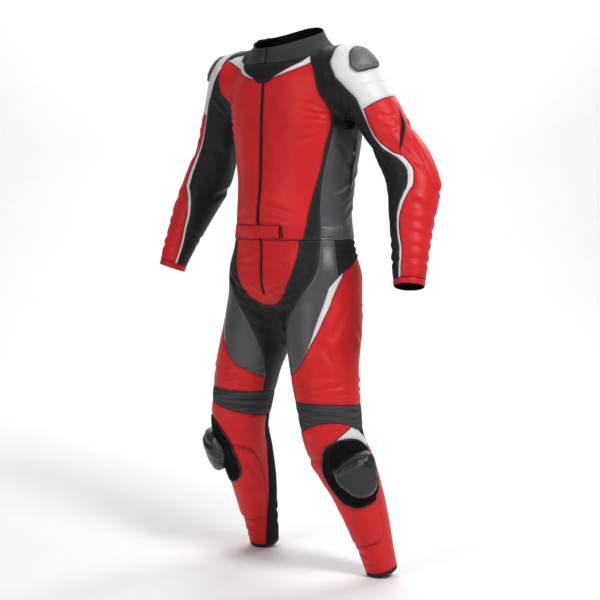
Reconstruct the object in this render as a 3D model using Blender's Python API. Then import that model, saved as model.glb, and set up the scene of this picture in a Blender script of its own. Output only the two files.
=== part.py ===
"""A two-piece motorcycle race suit, worn and empty: jacket and trousers of cut leather pieces.

One smooth hollow form is given by tables of sections. A cage of quads settles on it, seams are cut
along lines of named charts, and each piece gets its wall. +Z is up, the front faces -Y and the
garment's left is +X. The origin is the middle of the neck's base, where the wearer holds the suit.
"""

from collections import namedtuple

import bpy
import numpy as np

# ---------------------------------------------------------------- driving sizes, in metres
WALL = 0.0018
COLLAR_WALL = 0.0030
SEAM_GAP = 0.0003
PATCH_WALL = 0.0022
WAIST = -0.461
HEM_FLARE = 0.0025
FLARE_REACH = 0.030
NECK_FRONT, NECK_BACK = -0.044, 0.024
COLLAR_FRONT, COLLAR_BACK = 0.036, 0.038
NECK_HALF, NECK_Y = 0.090, -0.009
COLLAR_SLIT = (0.0015, 0.0045)
ZIP_HALF = 0.0040
FLY_HALF, FLY_DEPTH, FLY_SQUARE = 0.108, 0.167, 2.1
FLY_ZIP_END = -0.592
RIBS_TURN = 81.0
RIB_PITCH, RIB_RISE = 0.0160, 0.0030
CUFF_BAND, HEM_BAND = 0.016, 0.010
SHOULDER_END = 0.272
RIGHT_LIFT = 0.010
SNAP = 0.0045
TORSO_COLUMNS, TORSO_HALF = 40, 20
TO_ARMHOLE, TO_NECK = 8, 4
ROWS_UP, ARM_ROWS, LEG_ROWS = 7, 13, 14
CUFF_CUT, HEM_CUT = 0.052, 0.044
BLEND_SHOULDER, BLEND_ARM, BLEND_LEG, BLEND_CROTCH = 0.050, 0.045, 0.030, 0.012

Torso = namedtuple("Torso", "z y wide front back square")
Tube = namedtuple("Tube", "x y z out inward front back")
Turn = namedtuple("Turn", "z turn")
Line = namedtuple("Line", "along left right")
Edge = namedtuple("Edge", "x yoke flash")
Oval = namedtuple("Oval", "along left right tall wide square taper step")
Lens = namedtuple("Lens", "along turn half")
Rise = namedtuple("Rise", "inward rise")

# half widths and depths of the body's sections, and how square their corners are
TORSO = [
    Torso(-0.660, 0.008, 0.110, 0.055, 0.070, 2.0),
    Torso(-0.625, 0.000, 0.154, 0.086, 0.096, 2.2),
    Torso(-0.580, -0.005, 0.170, 0.106, 0.105, 2.3),
    Torso(-0.530, -0.006, 0.174, 0.110, 0.107, 2.3),
    Torso(-0.475, -0.004, 0.166, 0.111, 0.108, 2.2),
    Torso(-0.440, 0.000, 0.164, 0.123, 0.111, 2.0),
    Torso(-0.400, 0.000, 0.157, 0.126, 0.112, 2.0),
    Torso(-0.330, 0.004, 0.161, 0.122, 0.118, 2.0),
    Torso(-0.250, 0.007, 0.170, 0.122, 0.124, 2.15),
    Torso(-0.180, 0.005, 0.172, 0.119, 0.128, 2.5),
    Torso(-0.120, 0.002, 0.172, 0.112, 0.124, 2.7),
    Torso(-0.080, -0.002, 0.155, 0.106, 0.114, 2.6),
    Torso(-0.045, -0.008, 0.118, 0.097, 0.100, 2.3),
    Torso(-0.010, -0.010, 0.092, 0.090, 0.090, 2.0),
    Torso(0.060, -0.018, 0.081, 0.080, 0.074, 2.0),
    Torso(0.120, -0.022, 0.078, 0.078, 0.070, 2.0),
]
SHOULDER = [
    Tube(0.020, 0.004, -0.036, 0.050, 0.050, 0.060, 0.064),
    Tube(0.100, 0.000, -0.052, 0.051, 0.052, 0.060, 0.064),
    Tube(0.190, -0.004, -0.076, 0.054, 0.056, 0.060, 0.062),
]
ARM = [
    Tube(0.188, -0.006, -0.066, 0.052, 0.058, 0.058, 0.060),
    Tube(0.224, -0.004, -0.106, 0.054, 0.060, 0.060, 0.062),
    Tube(0.261, 0.006, -0.164, 0.051, 0.056, 0.057, 0.058),
    Tube(0.300, 0.020, -0.230, 0.048, 0.053, 0.055, 0.056),
    Tube(0.334, 0.030, -0.290, 0.055, 0.059, 0.058, 0.060),
    Tube(0.354, 0.026, -0.340, 0.060, 0.059, 0.058, 0.060),
    Tube(0.368, 0.006, -0.400, 0.053, 0.053, 0.053, 0.053),
    Tube(0.382, -0.014, -0.460, 0.045, 0.045, 0.045, 0.045),
    Tube(0.394, -0.032, -0.515, 0.039, 0.039, 0.039, 0.039),
    Tube(0.402, -0.044, -0.560, 0.035, 0.035, 0.035, 0.035),
    Tube(0.412, -0.058, -0.610, 0.033, 0.033, 0.033, 0.033),
]
LEG = [
    Tube(0.092, 0.002, -0.560, 0.088, 0.070, 0.098, 0.098),
    Tube(0.104, -0.010, -0.660, 0.094, 0.087, 0.094, 0.096),
    Tube(0.130, -0.030, -0.770, 0.083, 0.080, 0.084, 0.080),
    Tube(0.152, -0.036, -0.870, 0.076, 0.076, 0.074, 0.074),
    Tube(0.165, -0.030, -0.940, 0.071, 0.071, 0.071, 0.069),
    Tube(0.178, 0.005, -1.010, 0.065, 0.065, 0.066, 0.066),
    Tube(0.187, 0.036, -1.080, 0.057, 0.057, 0.058, 0.058),
    Tube(0.197, 0.064, -1.166, 0.047, 0.047, 0.048, 0.048),
    Tube(0.204, 0.085, -1.240, 0.040, 0.040, 0.040, 0.040),
    Tube(0.210, 0.104, -1.310, 0.037, 0.037, 0.037, 0.037),
]
# the right forearm is swung a little ahead and up
SWING_AHEAD, SWING_UP, SWING_FROM, SWING_FULL = 0.012, 0.014, -0.20, -0.56
# a chart's centreline starts nearer the neck, or at the waist
ARM_LEAD = [
    Tube(0.042, -0.006, -0.034, 0.05, 0.05, 0.05, 0.05),
    Tube(0.125, -0.006, -0.034, 0.05, 0.05, 0.05, 0.05),
]
LEG_LEAD = [
    Tube(0.078, 0.004, -0.440, 0.09, 0.09, 0.09, 0.09),
    Tube(0.085, 0.004, -0.500, 0.09, 0.09, 0.09, 0.09),
]

# seams round the body: degrees from the front middle at each height
FRONT_EDGE = [
    Turn(0.040, 72), Turn(-0.020, 70), Turn(-0.045, 67), Turn(-0.085, 65.5), Turn(-0.120, 67),
    Turn(-0.154, 72.5), Turn(-0.180, 76), Turn(-0.217, 70), Turn(-0.256, 68), Turn(-0.298, 66),
    Turn(-0.344, 62), Turn(-0.402, 57), Turn(-0.461, 53),
]  # fmt: skip
# how far the front's edges lie round towards the right, above the armpits
FRONT_LEAN = [Turn(-0.190, 0), Turn(-0.120, 4)]  # fmt: skip
STRIP_EDGE = [
    Turn(-0.190, 75.5), Turn(-0.215, 74), Turn(-0.250, 71.5), Turn(-0.285, 69.5), Turn(-0.326, 68),
    Turn(-0.370, 67.5), Turn(-0.461, 68),
]  # fmt: skip
BACK_EDGE = [Turn(0.040, 112), Turn(-0.040, 116), Turn(-0.120, 122), Turn(-0.200, 130), Turn(-0.461, 133)]
# heights of the throat yoke's edge and of the white flash under it, out from the middle
YOKE = [
    Edge(0.000, -0.096, -0.088), Edge(0.020, -0.087, -0.083), Edge(0.040, -0.076, -0.078),
    Edge(0.060, -0.066, -0.073), Edge(0.080, -0.056, -0.067), Edge(0.100, -0.044, -0.059),
    Edge(0.115, -0.028, -0.051), Edge(0.130, -0.005, -0.043), Edge(0.170, 0.040, -0.024),
]  # fmt: skip
# seams along the sleeve: degrees from straight ahead, outward positive
SLEEVE_FRONT = [
    Line(0.103, 95, 95), Line(0.110, 75, 75), Line(0.125, 45, 45), Line(0.138, 18, 18),
    Line(0.150, 0, 0), Line(0.165, -5, -3), Line(0.195, -2, -1), Line(0.225, 6, 6), Line(0.270, 6, 5),
    Line(0.316, -9, -2), Line(0.349, -8, 2), Line(0.392, 7, 2), Line(0.414, 23, 2), Line(0.430, 30, 2),
    Line(0.465, 34, 1), Line(0.494, 28, -3), Line(0.531, 10, -28), Line(0.565, -2, -42),
    Line(0.600, -3, -47), Line(0.640, 5, -58), Line(0.675, 0, -63), Line(0.770, -7, -63),
]  # fmt: skip
SLEEVE_BACK = [
    Line(0.103, 85, 85), Line(0.110, 105, 105), Line(0.125, 135, 135), Line(0.138, 160, 160),
    Line(0.150, 178, 178), Line(0.200, 188, 188), Line(0.300, 198, 198), Line(0.430, 192, 188),
    Line(0.530, 204, 190), Line(0.770, 210, 186),
]  # fmt: skip
# half width in metres of the white piping between the sleeve's outer and inner pieces
PIPING_HALF = [
    Line(0.272, 0.0015, 0.0015), Line(0.350, 0.0028, 0.0028), Line(0.392, 0.0045, 0.0040),
    Line(0.440, 0.0065, 0.0055), Line(0.494, 0.0065, 0.0055), Line(0.531, 0.0050, 0.0045),
    Line(0.600, 0.0032, 0.0032), Line(0.770, 0.0028, 0.0028),
]  # fmt: skip
# seams down the leg
THIGH_INNER = [
    Line(0.000, 46, 46), Line(0.035, 44, 44), Line(0.070, 41, 41), Line(0.100, 38, 38),
    Line(0.130, 30, 29), Line(0.157, 18, 18), Line(0.185, 5, 5), Line(0.210, -10, -10),
    Line(0.230, -22, -22), Line(0.266, -42, -42), Line(0.300, -62, -62), Line(0.350, -80, -80),
    Line(0.420, -84, -84),
]  # fmt: skip
THIGH_OUTER = [
    Line(0.000, 79, 79), Line(0.084, 80, 80), Line(0.113, 76, 76), Line(0.133, 57, 57),
    Line(0.164, 49, 49), Line(0.197, 44, 44), Line(0.271, 30, 28), Line(0.313, 15, 8),
    Line(0.331, 4, -7), Line(0.342, -14, -28), Line(0.350, -48, -58), Line(0.357, -86, -90),
    Line(0.366, -125, -125), Line(0.420, -125, -125),
]  # fmt: skip
FLASH_WIDE = [
    Line(0.000, -4, -4), Line(0.104, -4, -4), Line(0.114, 1, 1), Line(0.133, 11, 11),
    Line(0.164, 9, 9), Line(0.190, 8.5, 8.5), Line(0.250, 6.5, 6.5), Line(0.290, 3, 3),
    Line(0.312, -0.5, -0.5), Line(0.340, -8, -8), Line(0.420, -30, -30),
]  # fmt: skip
SEAT_EDGE = [Line(0.000, 262, 262), Line(0.120, 250, 250), Line(0.190, 238, 238), Line(0.260, 226, 226),
             Line(0.420, 216, 216)]  # fmt: skip
BAND_TOP = [Line(-180, 0.412, 0.412), Line(-90, 0.395, 0.390), Line(-26, 0.408, 0.402),
            Line(30, 0.421, 0.412), Line(64, 0.427, 0.418), Line(110, 0.432, 0.424),
            Line(180, 0.412, 0.412)]  # fmt: skip
BAND_LOW = [Line(-180, 0.478, 0.478), Line(-104, 0.466, 0.460), Line(-26, 0.470, 0.452),
            Line(12, 0.463, 0.449), Line(38, 0.461, 0.450), Line(77, 0.472, 0.462),
            Line(103, 0.492, 0.482), Line(140, 0.490, 0.484), Line(180, 0.478, 0.478)]  # fmt: skip
KNEE_FLASH = [Line(0.440, 125, 97), Line(0.468, 97, 69), Line(0.481, 78, 50), Line(0.492, 56, 28),
              Line(0.502, 36, 8), Line(0.520, 14, -14), Line(0.560, 8, -20)]  # fmt: skip
FLASH_END = 0.548
CALF_INNER = [Line(0.440, 254, 254), Line(0.548, 250, 250), Line(0.606, 262, 262), Line(0.666, 270, 270),
              Line(0.725, 277, 277), Line(0.783, 292, 292), Line(0.870, 308, 308)]  # fmt: skip
CALF_OUTER = [Line(0.440, 84, 84), Line(0.492, 103, 103), Line(0.520, 125, 125), Line(0.560, 142, 142),
              Line(0.650, 155, 155), Line(0.870, 165, 165)]  # fmt: skip
# the two limbs' outlines; on the right each sits a step higher
KNEE_PATCH = Oval(0.583, 54, 28, 0.086, 61, 2.3, 0.0, 0.014)
KNEE_PUCK = Oval(0.586, 60, 31, 0.052, 40, 2.6, -0.30, 0.022)
SHOULDER_CUP = Oval(0.178, 70, 70, 0.024, 33, 2.6, 0.45, 0.0)
# stretch gusset over the upper arm: its middle, and half its width in metres
GUSSET = [
    Lens(0.290, 104, -0.004), Lens(0.304, 100, 0.000), Lens(0.322, 96, 0.005), Lens(0.342, 84, 0.0065),
    Lens(0.365, 62, 0.0055), Lens(0.385, 44, 0.003), Lens(0.400, 32, 0.000), Lens(0.418, 18, -0.004),
]  # fmt: skip
# lower edge of the ribbed panel round the back of the waist
RIBS_EDGE = [Turn(-0.544, 80), Turn(-0.509, 104), Turn(-0.496, 130), Turn(-0.490, 180)]
SLIDER = namedtuple("Slider", "z turn wide tall thick lift")(-0.258, 99.0, 0.007, 0.011, 0.003, -0.0003)
# heights of the hard pieces' tops at each depth in from their outline
PUCK_TOP = [Rise(0.000, 0.008), Rise(0.006, 0.020), Rise(0.016, 0.026), Rise(0.050, 0.028)]
CUP_TOP = [Rise(0.000, 0.004), Rise(0.008, 0.010), Rise(0.030, 0.014)]
# lines that let the shoulder bend under its cup
CUP_LINES = (0.140, 0.168, 0.183, 0.198, 0.225)
CUP_TURNS = (30.0, 55.0, 80.0, 120.0)
BELT_TURN = (-53.0, 29.0)
BELT_Z = (-0.458, -0.427)
TAB_TURN = (69.0, 88.0)
TAB_Z = (-0.456, -0.430)

# colour, roughness, metallic
FINISHES = {
    "red": ((0.55, 0.012, 0.016), 0.42, 0.0),
    "black": ((0.014, 0.014, 0.016), 0.50, 0.0),
    "stretch": ((0.022, 0.022, 0.025), 0.75, 0.0),
    "grey": ((0.045, 0.046, 0.050), 0.45, 0.0),
    "white": ((0.80, 0.80, 0.80), 0.40, 0.0),
    "hard": ((0.030, 0.031, 0.034), 0.30, 0.0),
    "tape": ((0.020, 0.020, 0.022), 0.60, 0.0),
    "cup": ((0.26, 0.26, 0.27), 0.32, 0.8),
    "metal": ((0.62, 0.62, 0.64), 0.25, 1.0),
}


# ---------------------------------------------------------------- the form
def smooth_rows(rows, steps=8):
    """The table's rows with a Catmull-Rom curve's rows between them."""
    r = np.array(rows, float)
    r = np.vstack([2 * r[0] - r[1], r, 2 * r[-1] - r[-2]])
    out = []
    for i in range(1, len(r) - 2):
        a, b, c, d = r[i - 1 : i + 3]
        for t in np.arange(steps) / steps:
            bend = (2 * a - 5 * b + 4 * c - d) * t**2 + (3 * b - a - 3 * c + d) * t**3
            out.append(0.5 * (2 * b + (c - a) * t + bend))
    out.append(r[-2])
    return np.array(out)


def mirrored(rows):
    return [row._replace(x=-row.x) for row in rows]


def swung(rows):
    """The right arm's rows: the left's, mirrored, with the forearm a little ahead and up."""
    out = []
    for row in mirrored(rows):
        reach = np.clip((SWING_FROM - row.z) / (SWING_FROM - SWING_FULL), 0, 1)
        ahead = np.clip(1.8 * reach, 0, 1)
        out.append(row._replace(y=row.y - SWING_AHEAD * ahead, z=row.z + SWING_UP * reach))
    return out


def lifted(rows):
    """The right shoulder's rows, carried a little higher and wider than the left's."""
    share = [min(max((row.z + 0.22) / 0.12, 0), 1) for row in rows]
    return [row._replace(x=row.x - 0.4 * RIGHT_LIFT * t, z=row.z + RIGHT_LIFT * t)
            for row, t in zip(rows, share)]


def wrapped(degrees):
    return (degrees + 180) % 360 - 180


class Limb:
    """A tube of quarter-elliptical sections along a centreline, which is also a chart."""

    def __init__(self, rows, side):
        fine = smooth_rows(rows)
        self.line, self.size = fine[:, :3], fine[:, 3:]
        steps = np.linalg.norm(np.diff(self.line, axis=0), axis=1)
        self.along = np.concatenate([[0], np.cumsum(steps)])
        t = np.gradient(self.line, axis=0)
        self.tangent = t / np.linalg.norm(t, axis=1)[:, None]
        front = np.array([0.0, -1.0, 0.0])
        a = front - (self.tangent @ front)[:, None] * self.tangent
        self.ahead = a / np.linalg.norm(a, axis=1)[:, None]
        self.out = -side * np.cross(self.tangent, self.ahead)
        self.side = side

    def frame(self, i, t):
        def mix(a):
            return a[i] * (1 - t)[:, None] + a[i + 1] * t[:, None]

        return mix(self.line), mix(self.tangent), mix(self.ahead), mix(self.out), mix(self.size)

    def local(self, p):
        """Outward, ahead and beyond the nearest section, with its sizes and its place along."""
        start, step = self.line[:-1], np.diff(self.line, axis=0)
        best, i, t = np.full(len(p), np.inf), np.zeros(len(p), int), np.zeros(len(p))
        for k, (a, d) in enumerate(zip(start, step)):
            share = np.clip(((p - a) @ d) / (d @ d), 0, 1)
            far = ((p - a - share[:, None] * d) ** 2).sum(1)
            near = far < best
            best[near], i[near], t[near] = far[near], k, share[near]
        c, tangent, ahead, out, size = self.frame(i, t)
        w = p - c
        along = self.along[i] * (1 - t) + self.along[i + 1] * t
        return (w * out).sum(1), (w * ahead).sum(1), (w * tangent).sum(1), size, along

    def distance(self, p):
        u, v, h, size, _ = self.local(p)
        a = np.where(u > 0, size[:, 0], size[:, 1])
        b = np.where(v > 0, size[:, 2], size[:, 3])
        reach = np.sqrt((u / a) ** 2 + (v / b) ** 2 + (h / np.minimum(a, b)) ** 2)
        reach = np.maximum(reach, 1e-6)
        return np.sqrt(u * u + v * v + h * h) * (1 - 1 / reach)

    def read(self, p):
        """Metres along, degrees round from straight ahead, and metres from the centreline."""
        u, v, _, _, along = self.local(p)
        return along, np.degrees(np.arctan2(u, v)), np.hypot(u, v)

    def ray(self, along, degrees):
        """Centre and direction of the section's ray at each place."""
        along = np.asarray(along, float)
        i = np.clip(np.searchsorted(self.along, along, side="right") - 1, 0, len(self.along) - 2)
        t = (along - self.along[i]) / (self.along[i + 1] - self.along[i])
        c, _, ahead, out, _ = self.frame(i, t)
        r = np.radians(degrees)
        return c, np.cos(r)[:, None] * ahead + np.sin(r)[:, None] * out


BODY = smooth_rows(TORSO)
SIDES = {"left": 1.0, "right": -1.0}
ARMS = {"left": Limb(ARM, 1.0), "right": Limb(lifted(swung(ARM)), -1.0)}
LEGS = {"left": Limb(LEG, 1.0), "right": Limb(mirrored(LEG), -1.0)}
SHOULDERS = {"left": Limb(SHOULDER, 1.0), "right": Limb(lifted(mirrored(SHOULDER)), -1.0)}
ARM_CHARTS = {"left": Limb(ARM_LEAD + ARM, 1.0), "right": Limb(mirrored(ARM_LEAD) + lifted(swung(ARM)), -1.0)}
LEG_CHARTS = {"left": Limb(LEG_LEAD + LEG, 1.0), "right": Limb(mirrored(LEG_LEAD + LEG), -1.0)}


def body_section(z):
    """Middle, half width, front and back depth and squareness of the body at each height."""
    z = np.clip(z, BODY[0, 0], BODY[-1, 0])
    return [np.interp(z, BODY[:, 0], BODY[:, k]) for k in range(1, 6)]


def body_distance(p):
    y, wide, front, back, square = body_section(p[:, 2])
    u, v = p[:, 0], p[:, 1] - y
    h = p[:, 2] - np.clip(p[:, 2], BODY[0, 0], BODY[-1, 0])
    depth = np.where(v < 0, front, back)
    reach = np.abs(u / wide) ** square + np.abs(v / depth) ** square + np.abs(h / (0.6 * wide)) ** square
    reach = np.maximum(reach ** (1 / square), 1e-6)
    return np.sqrt(u * u + v * v + h * h) * (1 - 1 / reach)


def smooth_min(a, b, blend):
    h = np.maximum(blend - np.abs(a - b), 0) / blend
    return np.minimum(a, b) - h * h * blend / 4


def distance(p):
    """Signed distance, nearly, from the form's surface."""
    d = body_distance(p)
    for limbs, blend in ((SHOULDERS, BLEND_SHOULDER), (ARMS, BLEND_ARM)):
        for limb in limbs.values():
            d = smooth_min(d, limb.distance(p), blend)
    legs = smooth_min(LEGS["left"].distance(p), LEGS["right"].distance(p), BLEND_CROTCH)
    return smooth_min(d, legs, BLEND_LEG)


def gradient(p, field, step=0.002):
    """Gradient of a field from four points of a tetrahedron."""
    corners = np.array([[1, 1, 1], [1, -1, -1], [-1, 1, -1], [-1, -1, 1]], float)
    return sum(k * field(p + step * k)[:, None] for k in corners) / (4 * step)


def settle(p, rounds=3):
    """Points moved onto the form."""
    for _ in range(rounds):
        g = gradient(p, distance)
        length = np.maximum((g * g).sum(1), 0.05)
        p = p - np.clip(distance(p) / length, -0.03, 0.03)[:, None] * g
    return p


def normals(p):
    g = gradient(p, distance)
    return g / np.linalg.norm(g, axis=1)[:, None]


def onto(p, field, rounds=2):
    """Points moved along the form onto a field's zero line."""
    for _ in range(rounds):
        n = normals(p)
        g = gradient(p, field, 0.001)
        g = g - (g * n).sum(1)[:, None] * n
        length = np.maximum((g * g).sum(1), 0.05)
        p = settle(p - np.clip(field(p) / length, -0.01, 0.01)[:, None] * g, 1)
    return p


# ---------------------------------------------------------------- the cage
class Net:
    """Points, faces and one label for each face."""

    def __init__(self):
        self.points, self.faces, self.labels = [], [], []
        self.fixed = set()

    def add(self, points):
        start = len(self.points)
        self.points.extend(np.asarray(points, float))
        return list(range(start, start + len(points)))

    def face(self, corners, label):
        self.faces.append(list(corners))
        self.labels.append(label)

    def band(self, a, b, label, closed=True):
        for i in range(len(a) if closed else len(a) - 1):
            j = (i + 1) % len(a)
            self.face((a[i], a[j], b[j], b[i]), label)


def body_ray(z, degrees):
    """A point of the body's own section."""
    z = np.broadcast_to(z, np.shape(degrees))
    y, wide, front, back, _ = body_section(z)
    s, c = np.sin(np.radians(degrees)), np.cos(np.radians(degrees))
    return np.stack([wide * s, y - np.where(c > 0, front, back) * c, z], -1)


def neck_base(y):
    """Height of the collar's seam at a depth."""
    share = np.clip((y - NECK_Y) / NECK_HALF, -1, 1)
    return 0.5 * (NECK_FRONT + NECK_BACK) + 0.5 * (NECK_BACK - NECK_FRONT) * share


def shoulder_row(back):
    """Points over one half of the shoulders: neckline in the middle, ridge on both sides."""
    points = []
    for k in np.arange(-TO_ARMHOLE, TO_ARMHOLE) + 0.5:
        side, far = np.sign(k), abs(k)
        if far < TO_NECK:
            a = np.radians(90 * far / TO_NECK)
            y = NECK_Y + back * NECK_HALF * np.cos(a)
            points.append((side * NECK_HALF * np.sin(a), y, neck_base(y)))
        else:
            t = (far - TO_NECK) / (TO_ARMHOLE - TO_NECK)
            points.append((side * (0.104 + 0.116 * t), back * (0.016 + 0.014 * t), 0.008 - 0.012 * t))
    return np.array(points)


def body_cage(net):
    """Body rings from armpit to crotch, the chest and back above them, and the collar."""
    turn = (np.arange(TORSO_COLUMNS) + 0.5) * 360 / TORSO_COLUMNS
    heights = np.concatenate([np.linspace(-0.195, -0.435, 8), [WAIST], np.linspace(-0.490, -0.612, 5)])
    rings = [net.add(body_ray(z, turn)) for z in heights]
    for a, b in zip(rings, rings[1:]):
        net.band(a, b, "low")
    top = rings[0]
    halves = []
    for back in (-1, 1):
        if back < 0:
            rows = [[top[i] for i in range(-TO_ARMHOLE, TO_ARMHOLE)]]
        else:
            rows = [[top[TORSO_HALF - 1 - i] for i in range(-TO_ARMHOLE, TO_ARMHOLE)]]
        low, high = np.array([net.points[i] for i in rows[0]]), shoulder_row(back)
        for t in np.arange(1, ROWS_UP + 1) / ROWS_UP:
            middle = low * (1 - t) + high * t
            middle[:, 1] += back * 0.05 * np.sin(np.pi * t)
            rows.append(net.add(middle))
        for a, b in zip(rows, rows[1:]):
            net.band(a, b, "high", closed=False)
        halves.append(rows)
    front, rear = halves
    a, b = TO_ARMHOLE - TO_NECK, TO_ARMHOLE + TO_NECK
    for i in range(2 * TO_ARMHOLE - 1):
        if i < a or i >= b - 1:
            net.face((front[-1][i], front[-1][i + 1], rear[-1][i + 1], rear[-1][i]), "high")
    neck = front[-1][a:b] + rear[-1][a:b][::-1]
    base = np.array([net.points[i] for i in neck])
    row = neck
    for share in (1 / 3, 2 / 3, 1):
        rearward = (base[:, 1] - NECK_Y + NECK_HALF) / (2 * NECK_HALF)
        tall = COLLAR_FRONT + (COLLAR_BACK - COLLAR_FRONT) * rearward
        rise = share * np.stack([0 * tall, 0.05 * tall, tall], -1)
        new = net.add(base + rise)
        net.band(row, new, "high")
        row = new
    return rings, front, rear, row


def armhole(rings, front, rear, side):
    """Loop round the armhole: under the arm from front to back, then over it."""
    under = range(TO_ARMHOLE, TORSO_HALF - TO_ARMHOLE)
    if side == "left":
        column, low = -1, [rings[0][i] for i in under]
    else:
        column, low = 0, [rings[0][-1 - i] for i in under]
    up = [row[column] for row in rear]
    down = [row[column] for row in front][::-1]
    return low + up + down


def arm_cage(net, side, loop):
    limb = ARMS[side]
    placed = settle(np.array([net.points[i] for i in loop]))
    first = limb.read(placed)[1][-1]
    turn = first - 360 / len(loop) * (np.arange(len(loop)) + 1)
    end = limb.along[-1] - CUFF_CUT
    for share in np.arange(1, ARM_ROWS + 1) / ARM_ROWS:
        along = np.full(len(loop), 0.075 + (end - 0.075) * share)
        centre, ray = limb.ray(along, turn)
        row = net.add(centre + 0.05 * ray)
        net.band(loop, row, "arm_" + side)
        loop = row
    return loop


def leg_cages(net, last):
    """The split at the crotch, and both legs' rows."""
    turn = (np.arange(TORSO_COLUMNS) + 0.5) * 360 / TORSO_COLUMNS
    low = net.add(body_ray(-0.640, turn))
    middle = net.add([(0, -0.085, -0.635), (0, -0.03, -0.668), (0, 0.045, -0.668), (0, 0.10, -0.635)])
    for i in range(TORSO_COLUMNS):
        j = (i + 1) % TORSO_COLUMNS
        split = {TORSO_COLUMNS - 1: [middle[0]], TORSO_HALF - 1: [middle[3]]}.get(i, [])
        net.face([last[i], last[j], low[j]] + split + [low[i]], "low")
    ends = []
    for side, half in (("left", low[:TORSO_HALF]), ("right", low[TORSO_HALF:][::-1])):
        limb = LEGS[side]
        loop = [middle[0]] + half + [middle[3], middle[2], middle[1]]
        turns = -35 + 360 / len(loop) * np.arange(len(loop))
        end = limb.along[-1] - HEM_CUT
        for share in np.arange(1, LEG_ROWS + 1) / LEG_ROWS:
            along = np.full(len(loop), 0.12 + (end - 0.12) * share)
            centre, ray = limb.ray(along, turns)
            row = net.add(centre + 0.07 * ray)
            net.band(loop, row, "low")
            loop = row
        ends.append(loop)
    return ends


def relaxed(points, faces, held, rounds=12):
    """Points evened out over the form, with the openings' edges held."""
    edges = np.array([(f[i - 1], f[i]) for f in faces for i in range(len(f))])
    edges = np.unique(np.sort(edges, axis=1), axis=0)
    count = np.bincount(edges.ravel(), minlength=len(points))
    free = np.ones(len(points), bool)
    free[held] = False
    for _ in range(rounds):
        total = np.zeros_like(points)
        np.add.at(total, edges[:, 0], points[edges[:, 1]])
        np.add.at(total, edges[:, 1], points[edges[:, 0]])
        even = 0.5 * points + 0.5 * total / count[:, None]
        points = settle(np.where(free[:, None], even, points), 1)
    return settle(points)


def make_cage():
    net = Net()
    rings, front, rear, rim = body_cage(net)
    cuffs = [arm_cage(net, side, armhole(rings, front, rear, side)) for side in SIDES]
    hems = leg_cages(net, rings[-1])
    held = sum([rim] + cuffs + hems, [])
    net.points = relaxed(settle(np.array(net.points), 6), net.faces, held)
    out = normals(net.points)
    for face in net.faces:
        p = net.points[face]
        area = sum(np.cross(p[i] - p[0], p[i + 1] - p[0]) for i in range(1, len(face) - 1))
        if area @ out[face].sum(0) < 0:
            face.reverse()
    net.fixed = set(held)
    return net


# ---------------------------------------------------------------- cutting
def cut(net, field, rename, snap=SNAP):
    """Cuts the faces named in rename along the field's zero line: each label becomes (below, above)."""
    region = [i for i, label in enumerate(net.labels) if label in rename]
    used = sorted({v for i in region for v in net.faces[i]})
    if not used:
        return
    points = np.array(net.points)
    value = np.full(len(points), np.nan)
    value[used] = field(points[used])
    near = [v for v in used if abs(value[v]) < snap]
    free = [v for v in near if v not in net.fixed]
    if free:
        points[free] = onto(points[free], field)
    value[[v for v in near if v not in net.fixed or abs(value[v]) < 0.5 * snap]] = 0.0
    crossed = {}
    for i in region:
        face = net.faces[i]
        for a, b in zip(face, face[1:] + face[:1]):
            if value[a] * value[b] < 0:
                crossed[frozenset((a, b))] = (a, b)
    if crossed:
        ends = np.array(list(crossed.values()))
        share = value[ends[:, 0]] / (value[ends[:, 0]] - value[ends[:, 1]])
        new = points[ends[:, 0]] * (1 - share)[:, None] + points[ends[:, 1]] * share[:, None]
        new = onto(settle(new, 1), field)
        start = len(points)
        points = np.vstack([points, new])
        value = np.concatenate([value, np.zeros(len(new))])
        for k, key in enumerate(crossed):
            crossed[key] = start + k
    net.points = points
    for i, face in enumerate(net.faces):
        grown = []
        for a, b in zip(face, face[1:] + face[:1]):
            grown.append(a)
            if frozenset((a, b)) in crossed:
                grown.append(crossed[frozenset((a, b))])
        net.faces[i] = grown
    for i in region:
        split_face(net, i, value, field, rename[net.labels[i]])
    net.fixed |= {v for v in used if value[v] == 0.0} | set(crossed.values())


def split_face(net, i, value, field, names):
    """One face split where its values change sign."""
    face = net.faces[i]
    signs = np.sign(value[face])
    if not (signs > 0).any() or not (signs < 0).any():
        total = signs.sum()
        if total == 0:
            total = field(net.points[face].mean(0)[None])[0]
        net.labels[i] = names[int(total > 0)]
        return
    n = len(face)
    starts = [k for k in range(n) if signs[k] > 0 and signs[k - 1] <= 0]
    ends = [k for k in range(n) if signs[k] > 0 and signs[(k + 1) % n] <= 0]
    if len(starts) != 1:
        net.labels[i] = names[int(value[face].sum() > 0)]
        return
    first, last = (starts[0] - 1) % n, (ends[0] + 1) % n
    above = [face[(first + k) % n] for k in range((last - first) % n + 1)]
    below = [face[(last + k) % n] for k in range((first - last) % n + 1)]
    net.faces[i], net.labels[i] = above, names[1]
    net.faces.append(below)
    net.labels.append(names[0])


def line_field(chart, side, table):
    """Metres round from a seam given as degrees at each place along."""
    rows = np.array(table, float)
    column = 1 if side == "left" else 2

    def field(p):
        along, turn, far = chart.read(p)
        return np.radians(wrapped(turn - np.interp(along, rows[:, 0], rows[:, column]))) * far

    return field


def band_field(chart, side, table):
    """Metres beyond a seam given as places along at each turn."""
    rows = np.array(table, float)
    column = 1 if side == "left" else 2

    def field(p):
        along, turn, _ = chart.read(p)
        return along - np.interp(turn, rows[:, 0], rows[:, column])

    return field


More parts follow.
